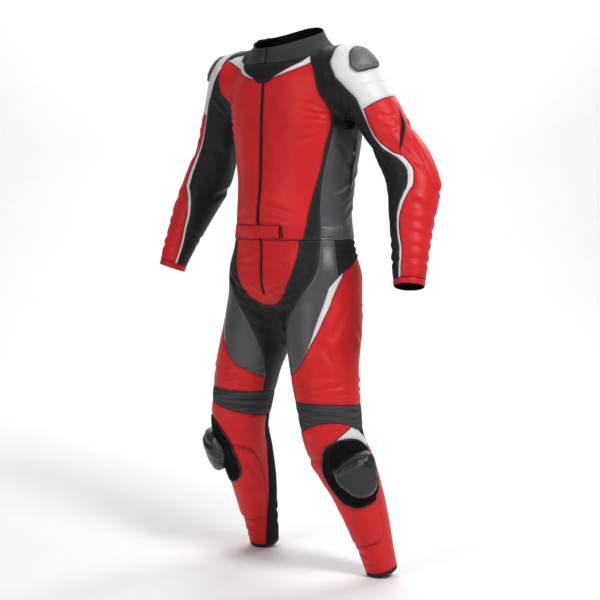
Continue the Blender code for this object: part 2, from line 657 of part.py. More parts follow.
def oval_field(chart, side, oval):
    """Positive inside a rounded outline."""
    middle, centre = (oval.left, oval.along) if side == "left" else (oval.right, oval.along - oval.step)

    def field(p):
        along, turn, _ = chart.read(p)
        v = (along - centre) / oval.tall
        u = np.abs(wrapped(turn - middle) / (oval.wide * (1 + oval.taper * np.clip(v, -1.2, 1.2))))
        return oval.tall * (1 - (u**oval.square + np.abs(v) ** oval.square) ** (1 / oval.square))

    return field


def turn_field(table, lean=((-1.0, 0.0),)):
    """Metres round the body beyond a seam given as degrees at each height, on both sides."""
    rows, lean = np.array(sorted(table), float), np.array(lean, float)

    def field(p):
        u, v = p[:, 0], p[:, 1] - body_section(p[:, 2])[0]
        turn = np.abs(np.degrees(np.arctan2(u, -v)) + np.interp(p[:, 2], lean[:, 0], lean[:, 1]))
        return np.radians(turn - np.interp(p[:, 2], rows[:, 0], rows[:, 1])) * np.hypot(u, v)

    return field


def fly_field(p):
    """Positive inside the shield-shaped fly panel, on the front only."""
    u = np.abs(p[:, 0]) / FLY_HALF
    v = np.maximum(WAIST + 0.006 - p[:, 2], 0) / FLY_DEPTH
    inside = FLY_HALF * (1 - (u**FLY_SQUARE + v**FLY_SQUARE) ** (1 / FLY_SQUARE))
    return np.minimum(inside, -p[:, 1])


def ribs_field(p):
    """Metres above the ribbed panel's lower edge."""
    rows = np.array(RIBS_EDGE, float).T
    return p[:, 2] - np.interp(np.abs(turn_round(p)), rows[1], rows[0])


def edge_field(column):
    """Metres above the yoke's edge or the flash's edge."""
    rows = np.array(YOKE, float)
    k = Edge._fields.index(column)
    return lambda p: p[:, 2] - np.interp(np.abs(p[:, 0]), rows[:, 0], rows[:, k])


def level(z):
    return lambda p: p[:, 2] - z


def mark(net, name, bases, fields, snap=0.003):
    """Marks the faces of some pieces that lie under a piece sewn on them."""
    labels = {label for label in net.labels if set(label.split("|")) & set(bases)}
    cut(net, fields[0], {label: (label, label + "|" + name) for label in labels}, snap)
    for field in fields[1:]:
        cut(net, field, {label + "|" + name: (label, label + "|" + name) for label in labels}, snap)


def lines(net, name, fields, snap=0.003):
    """Lines over a piece, where its outer side bends."""
    for field in fields:
        labels = {label for label in net.labels if name in label.split("|")}
        cut(net, field, {label: (label, label) for label in labels}, snap)


def select(net, label, new, test):
    """Gives a new label to the faces whose middle passes the test."""
    for i, face in enumerate(net.faces):
        if net.labels[i] == label and test(net.points[face].mean(0)):
            net.labels[i] = new


def cut_jacket(net):
    select(net, "high", "neck", lambda c: np.hypot(c[0], c[1] - NECK_Y) < 0.125)
    cut(net, lambda p: p[:, 2] - neck_base(p[:, 1]), {"neck": ("high", "collar")})
    select(net, "collar", "throat", lambda c: c[1] < NECK_Y - 0.05)
    for x in COLLAR_SLIT:
        cut(net, lambda p: p[:, 0] - x, {"throat": ("throat", "throat")}, snap=0.0004)
    middle = 0.5 * sum(COLLAR_SLIT)
    select(net, "throat", "gap", lambda c: abs(c[0] - middle) < 0.001)
    rename(net, {"throat": "collar"})
    front = turn_field(FRONT_EDGE, FRONT_LEAN)
    back, strip = turn_field(BACK_EDGE), turn_field(STRIP_EDGE)
    for side, sign in SIDES.items():
        for part, outside in (("high", "raglan_"), ("jacket", "side_")):
            select(net, part, outside + side, lambda c: sign * c[0] > 0)
            cut(net, front, {outside + side: ("front", outside + side)})
            cut(net, back, {outside + side: (outside + side, "back")})
    cut(net, edge_field("yoke"), {"front": ("front", "throat_yoke")})
    for side, sign in SIDES.items():
        both = ("front", "front_" + side)
        cut(net, lambda p: sign * p[:, 0] - ZIP_HALF, {"front": both}, snap=0.0065)
        both = ("front_" + side, "flash_" + side)
        cut(net, edge_field("flash"), {"front_" + side: both}, snap=0.003)
        both = ("side_strip_" + side, "side_" + side)
        cut(net, strip, {"side_" + side: both}, snap=0.003)
    rename(net, {"front": "front_zip"})
    fronts = ("front_left", "front_right", "front_zip")
    ends = [lambda p: turn_round(p) - BELT_TURN[0], lambda p: BELT_TURN[1] - turn_round(p)]
    ends = [lambda p, end=end: np.radians(end(p)) * 0.13 for end in ends]
    heights = [level(BELT_Z[0]), lambda p: BELT_Z[1] - p[:, 2]]
    mark(net, "belt_tab", fronts, heights + ends)
    heights = [level(TAB_Z[0]), lambda p: TAB_Z[1] - p[:, 2]]
    start, end = (turn_field([Turn(-0.7, turn), Turn(0.0, turn)]) for turn in TAB_TURN)
    for side in SIDES:
        mark(net, "side_tab_" + side, ("side_" + side,), heights + [start, lambda p: -end(p)])


def turn_round(p):
    """Degrees round the body from the front middle, toward its left."""
    return np.degrees(np.arctan2(p[:, 0], body_section(p[:, 2])[0] - p[:, 1]))


def between(chart, side, start, end):
    """Positive, in metres round, between two seams of a limb's chart."""
    column = 1 if side == "left" else 2
    start, end = (np.array(table, float)[:, [0, column]].T for table in (start, end))

    def field(p):
        along, turn, far = chart.read(p)
        a, b = np.interp(along, *start), np.interp(along, *end)
        return np.radians(0.5 * (b - a) - np.abs(wrapped(turn - 0.5 * (a + b)))) * far

    return field


def beyond(chart, side, seams, middle):
    """Positive beyond a seam, with the turn counted from a direction inside the piece."""
    column = 1 if side == "left" else 2
    tables = [np.array(table, float)[:, [0, column]].T for table in seams]
    middle = np.array(middle, float)[:, [0, column]].T

    def field(p):
        along, turn, far = chart.read(p)
        edge = sum(np.interp(along, *table) for table in tables)
        start = np.interp(along, *middle)
        return np.radians(start + wrapped(turn - start) - edge) * far

    return field


def cut_gusset(net, chart, sleeve, gusset):
    """The lens-shaped gusset, cut as two halves from a line down its middle."""
    rows = np.array(GUSSET, float).T

    def field(p, way):
        along, turn, far = chart.read(p)
        off = np.radians(wrapped(turn - np.interp(along, rows[0], rows[1]))) * far
        return off if way == 0 else np.interp(along, rows[0], rows[2]) - way * off

    near = lambda p: rows[0][0] - 0.004 < chart.read(p[None])[0][0] < rows[0][-1] + 0.004
    select(net, sleeve, "low", lambda p: near(p) and abs(field(p[None], 0)[0]) < 0.030)
    cut(net, lambda p: field(p, 0), {"low": ("low", "high")}, snap=0.002)
    cut(net, lambda p: field(p, -1), {"low": (sleeve, gusset)}, snap=0.0015)
    cut(net, lambda p: field(p, 1), {"high": (sleeve, gusset)}, snap=0.0015)


def cut_sleeves(net):
    half = np.array(PIPING_HALF, float)[:, :2].T
    for side in SIDES:
        chart = ARM_CHARTS[side]
        inner, outer = "sleeve_inner_" + side, "outer_" + side
        rename(net, {"raglan_" + side: inner, "arm_" + side: inner})
        cuff = chart.along[-1] - CUFF_CUT - CUFF_BAND
        cut(net, lambda p: chart.read(p)[0] - cuff, {inner: (inner, "cuff_" + side)}, snap=0.006)
        cut(net, between(chart, side, SLEEVE_FRONT, SLEEVE_BACK), {inner: (inner, outer)}, snap=0.003)
        both = ("shoulder_" + side, "sleeve_" + side)
        cut(net, lambda p: chart.read(p)[0] - SHOULDER_END, {outer: both})
        front = beyond(chart, side, [SLEEVE_FRONT], [Line(0, 90, 90), Line(1, 90, 90)])
        both = ("piping_" + side, "sleeve_" + side)
        strip = lambda p: front(p) - 2 * np.interp(chart.read(p)[0], *half)
        cut(net, strip, {"sleeve_" + side: both}, snap=0.0015)
        places = [lambda p, a=along: chart.read(p)[0] - a for along in CUP_LINES]
        turns = [line_field(chart, side, [Line(0, t, t), Line(1, t, t)]) for t in CUP_TURNS]
        lines(net, "shoulder_" + side, places + turns, snap=0.007)
        cut_gusset(net, chart, "sleeve_" + side, "gusset_" + side)
        cup = oval_field(chart, side, SHOULDER_CUP)
        mark(net, "shoulder_cup_" + side, ("shoulder_" + side,), [cup])
        lines(net, "shoulder_cup_" + side, [lambda p: cup(p) - CUP_TOP[1].inward])


def cut_trousers(net):
    cut(net, lambda p: p[:, 0], {"trousers": ("trousers_right", "trousers_left")})
    halves = ("trousers_left", "trousers_right")
    cut(net, fly_field, {name: (name, "fly_panel") for name in halves})
    cut(net, lambda p: np.abs(p[:, 0]) - 0.003, {"fly_panel": ("fly_zip", "fly_panel")}, snap=0.0)
    cut(net, level(FLY_ZIP_END), {"fly_zip": ("fly_panel", "fly_zip")}, snap=0.006)
    ribs = turn_field([Turn(-0.7, RIBS_TURN), Turn(0.0, RIBS_TURN)])
    for side in SIDES:
        chart = LEG_CHARTS[side]
        whole, top, shin, band = ("%s_%s" % (name, side) for name in ("trousers", "hip", "shin", "knee_band"))
        cut(net, ribs_field, {whole: (whole, top)})
        cut(net, ribs, {top: (whole, "waist_stretch")})
        cut(net, band_field(chart, side, BAND_TOP), {whole: (whole, band)}, snap=0.006)
        cut(net, band_field(chart, side, BAND_LOW), {band: (band, shin)}, snap=0.006)
        hem = chart.along[-1] - HEM_CUT - HEM_BAND
        cut(net, lambda p: chart.read(p)[0] - hem, {shin: (shin, "hem_" + side)}, snap=0.006)
        cut_thigh(net, side, chart, whole)
        cut_shin(net, side, chart, shin)
    steps = int((WAIST - RIBS_EDGE[0].z) / RIB_PITCH * 2)
    lines(net, "waist_stretch", [level(WAIST - 0.5 * RIB_PITCH * k) for k in range(1, steps)], snap=0.002)


def cut_thigh(net, side, chart, whole):
    """Inner leg, grey thigh front, white flash and red thigh."""
    thigh, middle = "thigh_" + side, [Line(0.0, 154, 154), Line(0.42, 66, 66)]
    both = ("inner_leg_" + side, thigh)
    cut(net, between(chart, side, THIGH_INNER, SEAT_EDGE), {whole: both})
    both = ("thigh_front_" + side, thigh)
    cut(net, beyond(chart, side, [THIGH_OUTER], middle), {thigh: both}, snap=0.003)
    both = ("thigh_flash_" + side, thigh)
    cut(net, beyond(chart, side, [THIGH_OUTER, FLASH_WIDE], middle), {thigh: both}, snap=0.002)


def cut_shin(net, side, chart, shin):
    """Calf stretch, the white flash over the knee, its patch and its slider."""
    cut(net, between(chart, side, CALF_OUTER, CALF_INNER), {shin: (shin, "calf_" + side)})
    flash, middle = "knee_flash_" + side, [Line(0, 10, 10), Line(1, 10, 10)]
    cut(net, lambda p: FLASH_END - chart.read(p)[0], {shin: (shin, flash)})
    cut(net, beyond(chart, side, [KNEE_FLASH], middle), {flash: (shin, flash)}, snap=0.003)
    under = (shin, flash, "calf_" + side, "knee_band_" + side)
    mark(net, "knee_patch_" + side, under, [oval_field(chart, side, KNEE_PATCH)])
    puck = oval_field(chart, side, KNEE_PUCK)
    mark(net, "knee_puck_" + side, ["knee_patch_" + side], [puck])
    lines(net, "knee_puck_" + side, [lambda p, r=row: puck(p) - r.inward for row in PUCK_TOP[1:3]])


def rename(net, names):
    net.labels = [names.get(label, label) for label in net.labels]


def cut_all(net):
    cut(net, level(WAIST), {"low": ("trousers", "jacket")}, snap=0.010)
    cut_jacket(net)
    cut_sleeves(net)
    cut_trousers(net)


# ---------------------------------------------------------------- solids
def into_triangles(net, normal):
    """Splits every face once, so that pieces lying on each other share their triangles."""
    faces, labels = [], []
    for face, label in zip(net.faces, net.labels):
        out = normal[face].sum(0)
        best, chosen = -np.inf, None
        for k in range(len(face)):
            turned = face[k:] + face[:k]
            p = net.points[turned]
            fan = [np.cross(p[i] - p[0], p[i + 1] - p[0]) @ out for i in range(1, len(p) - 1)]
            if min(fan) > best:
                best, chosen = min(fan), turned
        for i in range(1, len(face) - 1):
            faces.append([chosen[0], chosen[i], chosen[i + 1]])
            labels.append(label)
    net.faces, net.labels = faces, labels


def borders(faces):
    """Directed edges that only one face has."""
    edges = {(a, b) for f in faces for a, b in zip(f, f[1:] + f[:1])}
    return [(a, b) for a, b in edges if (b, a) not in edges]


def inset(points, normal, faces, gap=0.5 * SEAM_GAP):
    """Points with a piece's border moved into the piece by half a seam's gap."""
    moved = points.copy()
    pull = {}
    for a, b in borders(faces):
        for v in (a, b):
            side = np.cross(normal[v], points[b] - points[a])
            pull.setdefault(v, []).append(side / np.linalg.norm(side))
    for v, sides in pull.items():
        total = sum(sides)
        length = max(np.linalg.norm(total), 0.25)
        moved[v] = points[v] + gap * len(sides) * total / length**2 * (2 / len(sides))
    return moved


def wall_mesh(points, normal, faces, under, over):
    """Closed mesh between two distances from the form: outer faces, inner faces and a rim."""
    used = sorted({v for f in faces for v in f})
    index = {v: i for i, v in enumerate(used)}
    n = len(used)
    over, under = (np.broadcast_to(d, len(points))[used][:, None] for d in (over, under))
    outer = points[used] + over * normal[used]
    inner = points[used] + under * normal[used]
    shell = [[index[v] for v in f] for f in faces]
    lining = [[i + n for i in reversed(f)] for f in shell]
    rim = []
    for a, b in borders(faces):
        # both pieces at a seam split the rim the same way, so that their gap stays even
        p, q, low_p, low_q = index[a], index[b], index[a] + n, index[b] + n
        rim += [[q, p, low_q], [p, low_p, low_q]] if a < b else [[q, p, low_p], [q, low_p, low_q]]
    return np.vstack([outer, inner]), shell + lining + rim


def add_object(name, points, faces, finish):
    mesh = bpy.data.meshes.new(name)
    mesh.from_pydata([tuple(p) for p in points], [], faces)
    mesh.validate()
    mesh.shade_smooth()
    mesh.set_sharp_from_angle(angle=0.8)
    obj = bpy.data.objects.new(name, mesh)
    obj.data.materials.append(material(finish))
    bpy.data.collections["race_suit"].objects.link(obj)
    return obj


def material(name):
    if name in bpy.data.materials:
        return bpy.data.materials[name]
    colour, roughness, metallic = FINISHES[name]
    made = bpy.data.materials.new(name)
    made.use_nodes = True
    shader = made.node_tree.nodes["Principled BSDF"]
    shader.inputs["Base Color"].default_value = (*colour, 1.0)
    shader.inputs["Roughness"].default_value = roughness
    shader.inputs["Metallic"].default_value = metallic
    return made


def clear_scene():
    for obj in list(bpy.data.objects):
        bpy.data.objects.remove(obj)
    bpy.context.scene.collection.children.link(bpy.data.collections.new("race_suit"))


FINISH_OF = {
    "back": "red", "front": "red", "sleeve": "red", "fly_panel": "red", "thigh": "red", "shin": "red",
    "cuff": "red", "flash": "white", "thigh_flash": "white", "knee_flash": "white", "piping": "white",
    "shoulder": "white", "throat_yoke": "black", "collar": "black", "side": "grey",
    "thigh_front": "grey", "side_strip": "stretch", "sleeve_inner": "stretch", "inner_leg": "stretch",
    "waist_stretch": "stretch", "knee_band": "stretch", "calf": "stretch", "hem": "black",
    "front_zip": "tape", "fly_zip": "tape", "belt_tab": "red", "side_tab": "grey", "gusset": "stretch",
    "knee_patch": "tape", "knee_puck": "hard", "shoulder_cup": "cup", "zip_slider": "metal",
}  # fmt: skip


def flare(points):
    """How far the jacket's hem stands off the form."""
    return HEM_FLARE * np.clip(1 - (points[:, 2] - WAIST) / FLARE_REACH, 0, 1) ** 2


def ribs(points):
    return RIB_RISE * 0.5 * (1 - np.cos(2 * np.pi * (WAIST - points[:, 2]) / RIB_PITCH))


def hard_top(chart, side, oval, table):
    rows = np.array(table, float).T
    field = oval_field(chart, side, oval)
    return lambda points: np.interp(field(points), *rows)


def kind_of(name):
    return name.removesuffix("_left").removesuffix("_right")


def build_panels(net, normal):
    jacket = ("front", "front_zip", "back", "side", "side_strip")
    for name in sorted({label.split("|")[0] for label in net.labels} - {"gap"}):
        kind = kind_of(name)
        faces = [f for f, label in zip(net.faces, net.labels) if label.split("|")[0] == name]
        points = inset(net.points, normal, faces)
        stand = flare(net.points) if kind in jacket else 0.0
        over = stand + ribs(net.points) if kind == "waist_stretch" else stand
        wall = COLLAR_WALL if kind == "collar" else WALL
        add_object(name, *wall_mesh(points, normal, faces, stand - wall, over), FINISH_OF[kind])


def build_overlays(net, normal):
    """Pieces that lie on others: tabs, patches, sliders and cups, each from its panel's own points."""
    lifted = SEAM_GAP + PATCH_WALL + SEAM_GAP
    tops = {"belt_tab": PATCH_WALL, "side_tab": PATCH_WALL, "knee_patch": PATCH_WALL}
    for name in sorted({part for label in net.labels for part in label.split("|")[1:]}):
        kind, side = kind_of(name), name.rsplit("_", 1)[-1]
        faces = [f for f, label in zip(net.faces, net.labels) if name in label.split("|")]
        points = inset(net.points, normal, faces)
        under = lifted if kind == "knee_puck" else SEAM_GAP
        if kind.endswith("tab"):
            under = under + flare(net.points)
        if kind == "knee_puck":
            top = hard_top(LEG_CHARTS[side], side, KNEE_PUCK, PUCK_TOP)(net.points)
        elif kind == "shoulder_cup":
            top = hard_top(ARM_CHARTS[side], side, SHOULDER_CUP, CUP_TOP)(net.points)
        else:
            top = tops[kind]
        add_object(name, *wall_mesh(points, normal, faces, under, under + top), FINISH_OF[kind])


def build_sliders():
    """The sliders of the side panels' zips, closed at the top, each a chamfered block on its panel."""
    size = np.array([SLIDER.wide, SLIDER.tall, SLIDER.thick])
    faces = [[0, 1, 2, 3], [7, 6, 5, 4], [4, 5, 1, 0], [5, 6, 2, 1], [6, 7, 3, 2], [7, 4, 0, 3]]
    for side, sign in SIDES.items():
        place = settle(body_ray(SLIDER.z, np.array([sign * SLIDER.turn])), 6)
        out = normals(place)[0]
        across = np.cross([0.0, 0.0, 1.0], out)
        across /= np.linalg.norm(across)
        up = np.cross(out, across)
        base = place[0] + SLIDER.lift * out
        points = []
        for high, share in ((1.0, 0.7), (0.0, 1.0)):
            for x, y in ((-1, -1), (1, -1), (1, 1), (-1, 1)):
                along = share * 0.5 * (x * size[0] * across + y * size[1] * up)
                points.append(base + along + high * size[2] * out)
        add_object("zip_slider_" + side, points, faces, "metal")


def main():
    clear_scene()
    net = make_cage()
    cut_all(net)
    normal = normals(net.points)
    into_triangles(net, normal)
    build_panels(net, normal)
    build_overlays(net, normal)
    build_sliders()


if __name__ == "__main__":
    main()
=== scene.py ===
"""The dressed race suit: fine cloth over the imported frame, with its creases, seams and studio."""

from collections import namedtuple

import bpy
import numpy as np
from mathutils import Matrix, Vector, noise
from mathutils.kdtree import KDTree


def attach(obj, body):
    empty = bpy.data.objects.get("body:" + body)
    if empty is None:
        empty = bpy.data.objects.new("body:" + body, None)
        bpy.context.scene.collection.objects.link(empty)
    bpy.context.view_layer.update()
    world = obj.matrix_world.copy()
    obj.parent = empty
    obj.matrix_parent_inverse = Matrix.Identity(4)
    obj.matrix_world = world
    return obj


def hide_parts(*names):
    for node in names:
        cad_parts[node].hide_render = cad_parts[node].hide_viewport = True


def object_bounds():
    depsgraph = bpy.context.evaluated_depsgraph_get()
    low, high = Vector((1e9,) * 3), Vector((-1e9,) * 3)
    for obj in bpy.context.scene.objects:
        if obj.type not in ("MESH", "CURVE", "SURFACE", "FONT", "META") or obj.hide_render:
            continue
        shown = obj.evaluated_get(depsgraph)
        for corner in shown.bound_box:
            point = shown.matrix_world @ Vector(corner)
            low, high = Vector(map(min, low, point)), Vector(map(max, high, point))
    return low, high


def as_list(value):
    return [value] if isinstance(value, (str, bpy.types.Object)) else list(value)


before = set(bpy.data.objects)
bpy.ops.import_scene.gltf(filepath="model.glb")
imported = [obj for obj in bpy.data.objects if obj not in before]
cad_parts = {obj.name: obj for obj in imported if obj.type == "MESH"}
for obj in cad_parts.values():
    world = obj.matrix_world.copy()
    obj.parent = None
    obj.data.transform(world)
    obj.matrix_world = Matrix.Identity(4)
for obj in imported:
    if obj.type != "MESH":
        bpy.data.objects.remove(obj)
CAD_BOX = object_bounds()

# ---------------------------------------------------------------- driving sizes, in metres
LIMB_REACH = 0.18
CAMERA_TURN, CAMERA_FAR, CAMERA_HEIGHT, FOCAL = 45.0, 3.3, -0.3675, 1347.0
Look = namedtuple("Look", "colour worn rough metal gloss varies grain rise folds rib")
Light = namedtuple("Light", "name across ahead up size power aim_ahead aim_up")
Crease = namedtuple("Crease", "chart sides deep wide path")
SKY = 0.20
LIGHTS = [
    Light("key", 1.6, 2.3, 1.7, 1.1, 88.0, 0.0, -0.50),
    Light("fill", -2.2, 2.4, 0.6, 1.4, 26.0, 0.0, -0.50),
    Light("rim", 1.8, -1.7, 1.4, 1.0, 20.0, 0.0, -0.50),
    Light("wash", 0.0, -2.64, 3.86, 3.0, 190.0, -4.8, 0.98),
]
# the sweep behind the garment: how far out and up, half width and columns
SWEEP = [(-9.0, 0.0), (3.0, 0.0), (3.4, 0.03), (3.8, 0.14), (4.2, 0.36), (4.5, 0.7), (4.7, 1.2), (4.8, 5.5)]
SWEEP_HALF, SWEEP_COLUMNS, FLOOR_DROP = 12, 9, 0.0005
# the camera's sensor, and its aim as a shift in the picture's units
SENSOR, PICTURE_WIDE, SHIFT_RIGHT, SHIFT_DOWN = 36.0, 600.0, 5, 100
WALL, COLLAR_WALL, PATCH_WALL, SEAM_GAP = 0.0018, 0.0030, 0.0022, 0.0003
WAIST = -0.461
HEM_FLARE, FLARE_REACH = 0.0025, 0.030
NECK_FRONT, NECK_BACK = -0.044, 0.024
COLLAR_FRONT, COLLAR_BACK = 0.036, 0.038
NECK_HALF, NECK_Y = 0.090, -0.009
COLLAR_SLIT = (0.0015, 0.0045)
ZIP_HALF = 0.0040
FLY_HALF, FLY_DEPTH, FLY_SQUARE = 0.108, 0.167, 2.1
FLY_ZIP_END = -0.592
RIBS_TURN = 81.0
RIB_PITCH, RIB_RISE = 0.0160, 0.0030
CUFF_BAND, HEM_BAND = 0.016, 0.010
SHOULDER_END = 0.272
RIGHT_LIFT = 0.010
# how near a point is pulled onto a seam: broad, usual, close and exact cuts
SNAP, SNAP_WIDE, SNAP_CLOSE, SNAP_FINE = 0.0045, 0.006, 0.003, 0.0015
TORSO_COLUMNS, TORSO_HALF = 40, 20
TO_ARMHOLE, TO_NECK = 8, 4
ROWS_UP, ARM_ROWS, LEG_ROWS = 7, 13, 14
CUFF_CUT, HEM_CUT = 0.052, 0.044
ARM_START, LEG_START = 0.075, 0.12
CROTCH_RING = -0.640
CROTCH = [(0, -0.085, -0.635), (0, -0.03, -0.668), (0, 0.045, -0.668), (0, 0.10, -0.635)]
# the shoulder's ridge out from the collar: its start and how far it runs, across, back and up
RIDGE_FROM, RIDGE_BY = (0.104, 0.016, 0.008), (0.116, 0.014, -0.012)
BLEND_SHOULDER, BLEND_ARM, BLEND_LEG, BLEND_CROTCH = 0.050, 0.045, 0.030, 0.012

Torso = namedtuple("Torso", "z y wide front back square")
Tube = namedtuple("Tube", "x y z out inward front back")
Turn = namedtuple("Turn", "z turn")
Line = namedtuple("Line", "along left right")
Edge = namedtuple("Edge", "x yoke flash")
Oval = namedtuple("Oval", "along left right tall wide square taper step")
Lens = namedtuple("Lens", "along turn half")
Rise = namedtuple("Rise", "inward rise")

# half widths and depths of the body's sections, and how square their corners are
TORSO = [
    Torso(-0.660, 0.008, 0.110, 0.055, 0.070, 2.0),
    Torso(-0.625, 0.000, 0.154, 0.086, 0.096, 2.2),
    Torso(-0.580, -0.005, 0.170, 0.106, 0.105, 2.3),
    Torso(-0.530, -0.006, 0.174, 0.110, 0.107, 2.3),
    Torso(-0.475, -0.004, 0.166, 0.111, 0.108, 2.2),
    Torso(-0.440, 0.000, 0.164, 0.123, 0.111, 2.0),
    Torso(-0.400, 0.000, 0.157, 0.126, 0.112, 2.0),
    Torso(-0.330, 0.004, 0.161, 0.122, 0.118, 2.0),
    Torso(-0.250, 0.007, 0.170, 0.122, 0.124, 2.15),
    Torso(-0.180, 0.005, 0.172, 0.119, 0.128, 2.5),
    Torso(-0.120, 0.002, 0.172, 0.112, 0.124, 2.7),
    Torso(-0.080, -0.002, 0.155, 0.106, 0.114, 2.6),
    Torso(-0.045, -0.008, 0.118, 0.097, 0.100, 2.3),
    Torso(-0.010, -0.010, 0.092, 0.090, 0.090, 2.0),
    Torso(0.060, -0.018, 0.081, 0.080, 0.074, 2.0),
    Torso(0.120, -0.022, 0.078, 0.078, 0.070, 2.0),
]
SHOULDER = [
    Tube(0.020, 0.004, -0.036, 0.050, 0.050, 0.060, 0.064),
    Tube(0.100, 0.000, -0.052, 0.051, 0.052, 0.060, 0.064),
    Tube(0.190, -0.004, -0.076, 0.054, 0.056, 0.060, 0.062),
]
ARM = [
    Tube(0.188, -0.006, -0.066, 0.052, 0.058, 0.058, 0.060),
    Tube(0.224, -0.004, -0.106, 0.054, 0.060, 0.060, 0.062),
    Tube(0.261, 0.006, -0.164, 0.051, 0.056, 0.057, 0.058),
    Tube(0.300, 0.020, -0.230, 0.048, 0.053, 0.055, 0.056),
    Tube(0.334, 0.030, -0.290, 0.055, 0.059, 0.058, 0.060),
    Tube(0.354, 0.026, -0.340, 0.060, 0.059, 0.058, 0.060),
    Tube(0.368, 0.006, -0.400, 0.053, 0.053, 0.053, 0.053),
    Tube(0.382, -0.014, -0.460, 0.045, 0.045, 0.045, 0.045),
    Tube(0.394, -0.032, -0.515, 0.039, 0.039, 0.039, 0.039),
    Tube(0.402, -0.044, -0.560, 0.035, 0.035, 0.035, 0.035),
    Tube(0.412, -0.058, -0.610, 0.033, 0.033, 0.033, 0.033),
]
LEG = [
    Tube(0.092, 0.002, -0.560, 0.088, 0.070, 0.098, 0.098),
    Tube(0.104, -0.010, -0.660, 0.094, 0.087, 0.094, 0.096),
    Tube(0.130, -0.030, -0.770, 0.083, 0.080, 0.084, 0.080),
    Tube(0.152, -0.036, -0.870, 0.076, 0.076, 0.074, 0.074),
    Tube(0.165, -0.030, -0.940, 0.071, 0.071, 0.071, 0.069),
    Tube(0.178, 0.005, -1.010, 0.065, 0.065, 0.066, 0.066),
    Tube(0.187, 0.036, -1.080, 0.057, 0.057, 0.058, 0.058),
    Tube(0.197, 0.064, -1.166, 0.047, 0.047, 0.048, 0.048),
    Tube(0.204, 0.085, -1.240, 0.040, 0.040, 0.040, 0.040),
    Tube(0.210, 0.104, -1.310, 0.037, 0.037, 0.037, 0.037),
]
# the right forearm is swung a little ahead and up
SWING_AHEAD, SWING_UP, SWING_FROM, SWING_FULL = 0.012, 0.014, -0.20, -0.56
# a chart's centreline starts nearer the neck, or at the waist
ARM_LEAD = [
    Tube(0.042, -0.006, -0.034, 0.05, 0.05, 0.05, 0.05),
    Tube(0.125, -0.006, -0.034, 0.05, 0.05, 0.05, 0.05),
]
LEG_LEAD = [
    Tube(0.078, 0.004, -0.440, 0.09, 0.09, 0.09, 0.09),
    Tube(0.085, 0.004, -0.500, 0.09, 0.09, 0.09, 0.09),
]

# seams round the body: degrees from the front middle at each height
FRONT_EDGE = [
    Turn(0.040, 72), Turn(-0.020, 70), Turn(-0.045, 67), Turn(-0.085, 65.5), Turn(-0.120, 67),
    Turn(-0.154, 72.5), Turn(-0.180, 76), Turn(-0.217, 70), Turn(-0.256, 68), Turn(-0.298, 66),
    Turn(-0.344, 62), Turn(-0.402, 57), Turn(-0.461, 53),
]  # fmt: skip
# how far the front's edges lie round towards the right, above the armpits
FRONT_LEAN = [Turn(-0.190, 0), Turn(-0.120, 4)]  # fmt: skip
STRIP_EDGE = [
    Turn(-0.190, 75.5), Turn(-0.215, 74), Turn(-0.250, 71.5), Turn(-0.285, 69.5), Turn(-0.326, 68),
    Turn(-0.370, 67.5), Turn(-0.461, 68),
]  # fmt: skip
BACK_EDGE = [Turn(0.040, 112), Turn(-0.040, 116), Turn(-0.120, 122), Turn(-0.200, 130), Turn(-0.461, 133)]
# heights of the throat yoke's edge and of the white flash under it, out from the middle
YOKE = [
    Edge(0.000, -0.096, -0.088), Edge(0.020, -0.087, -0.083), Edge(0.040, -0.076, -0.078),
    Edge(0.060, -0.066, -0.073), Edge(0.080, -0.056, -0.067), Edge(0.100, -0.044, -0.059),
    Edge(0.115, -0.028, -0.051), Edge(0.130, -0.005, -0.043), Edge(0.170, 0.040, -0.024),
]  # fmt: skip
# seams along the sleeve: degrees from straight ahead, outward positive
SLEEVE_FRONT = [
    Line(0.103, 95, 95), Line(0.110, 75, 75), Line(0.125, 45, 45), Line(0.138, 18, 18),
    Line(0.150, 0, 0), Line(0.165, -5, -3), Line(0.195, -2, -1), Line(0.225, 6, 6), Line(0.270, 6, 5),
    Line(0.316, -9, -2), Line(0.349, -8, 2), Line(0.392, 7, 2), Line(0.414, 23, 2), Line(0.430, 30, 2),
    Line(0.465, 34, 1), Line(0.494, 28, -3), Line(0.531, 10, -28), Line(0.565, -2, -42),
    Line(0.600, -3, -47), Line(0.640, 5, -58), Line(0.675, 0, -63), Line(0.770, -7, -63),
]  # fmt: skip
SLEEVE_BACK = [
    Line(0.103, 85, 85), Line(0.110, 105, 105), Line(0.125, 135, 135), Line(0.138, 160, 160),
    Line(0.150, 178, 178), Line(0.200, 188, 188), Line(0.300, 198, 198), Line(0.430, 192, 188),
    Line(0.530, 204, 190), Line(0.770, 210, 186),
]  # fmt: skip
# half width in metres of the white piping between the sleeve's outer and inner pieces
PIPING_HALF = [
    Line(0.272, 0.0015, 0.0015), Line(0.350, 0.0028, 0.0028), Line(0.392, 0.0045, 0.0040),
    Line(0.440, 0.0065, 0.0055), Line(0.494, 0.0065, 0.0055), Line(0.531, 0.0050, 0.0045),
    Line(0.600, 0.0032, 0.0032), Line(0.770, 0.0028, 0.0028),
]  # fmt: skip
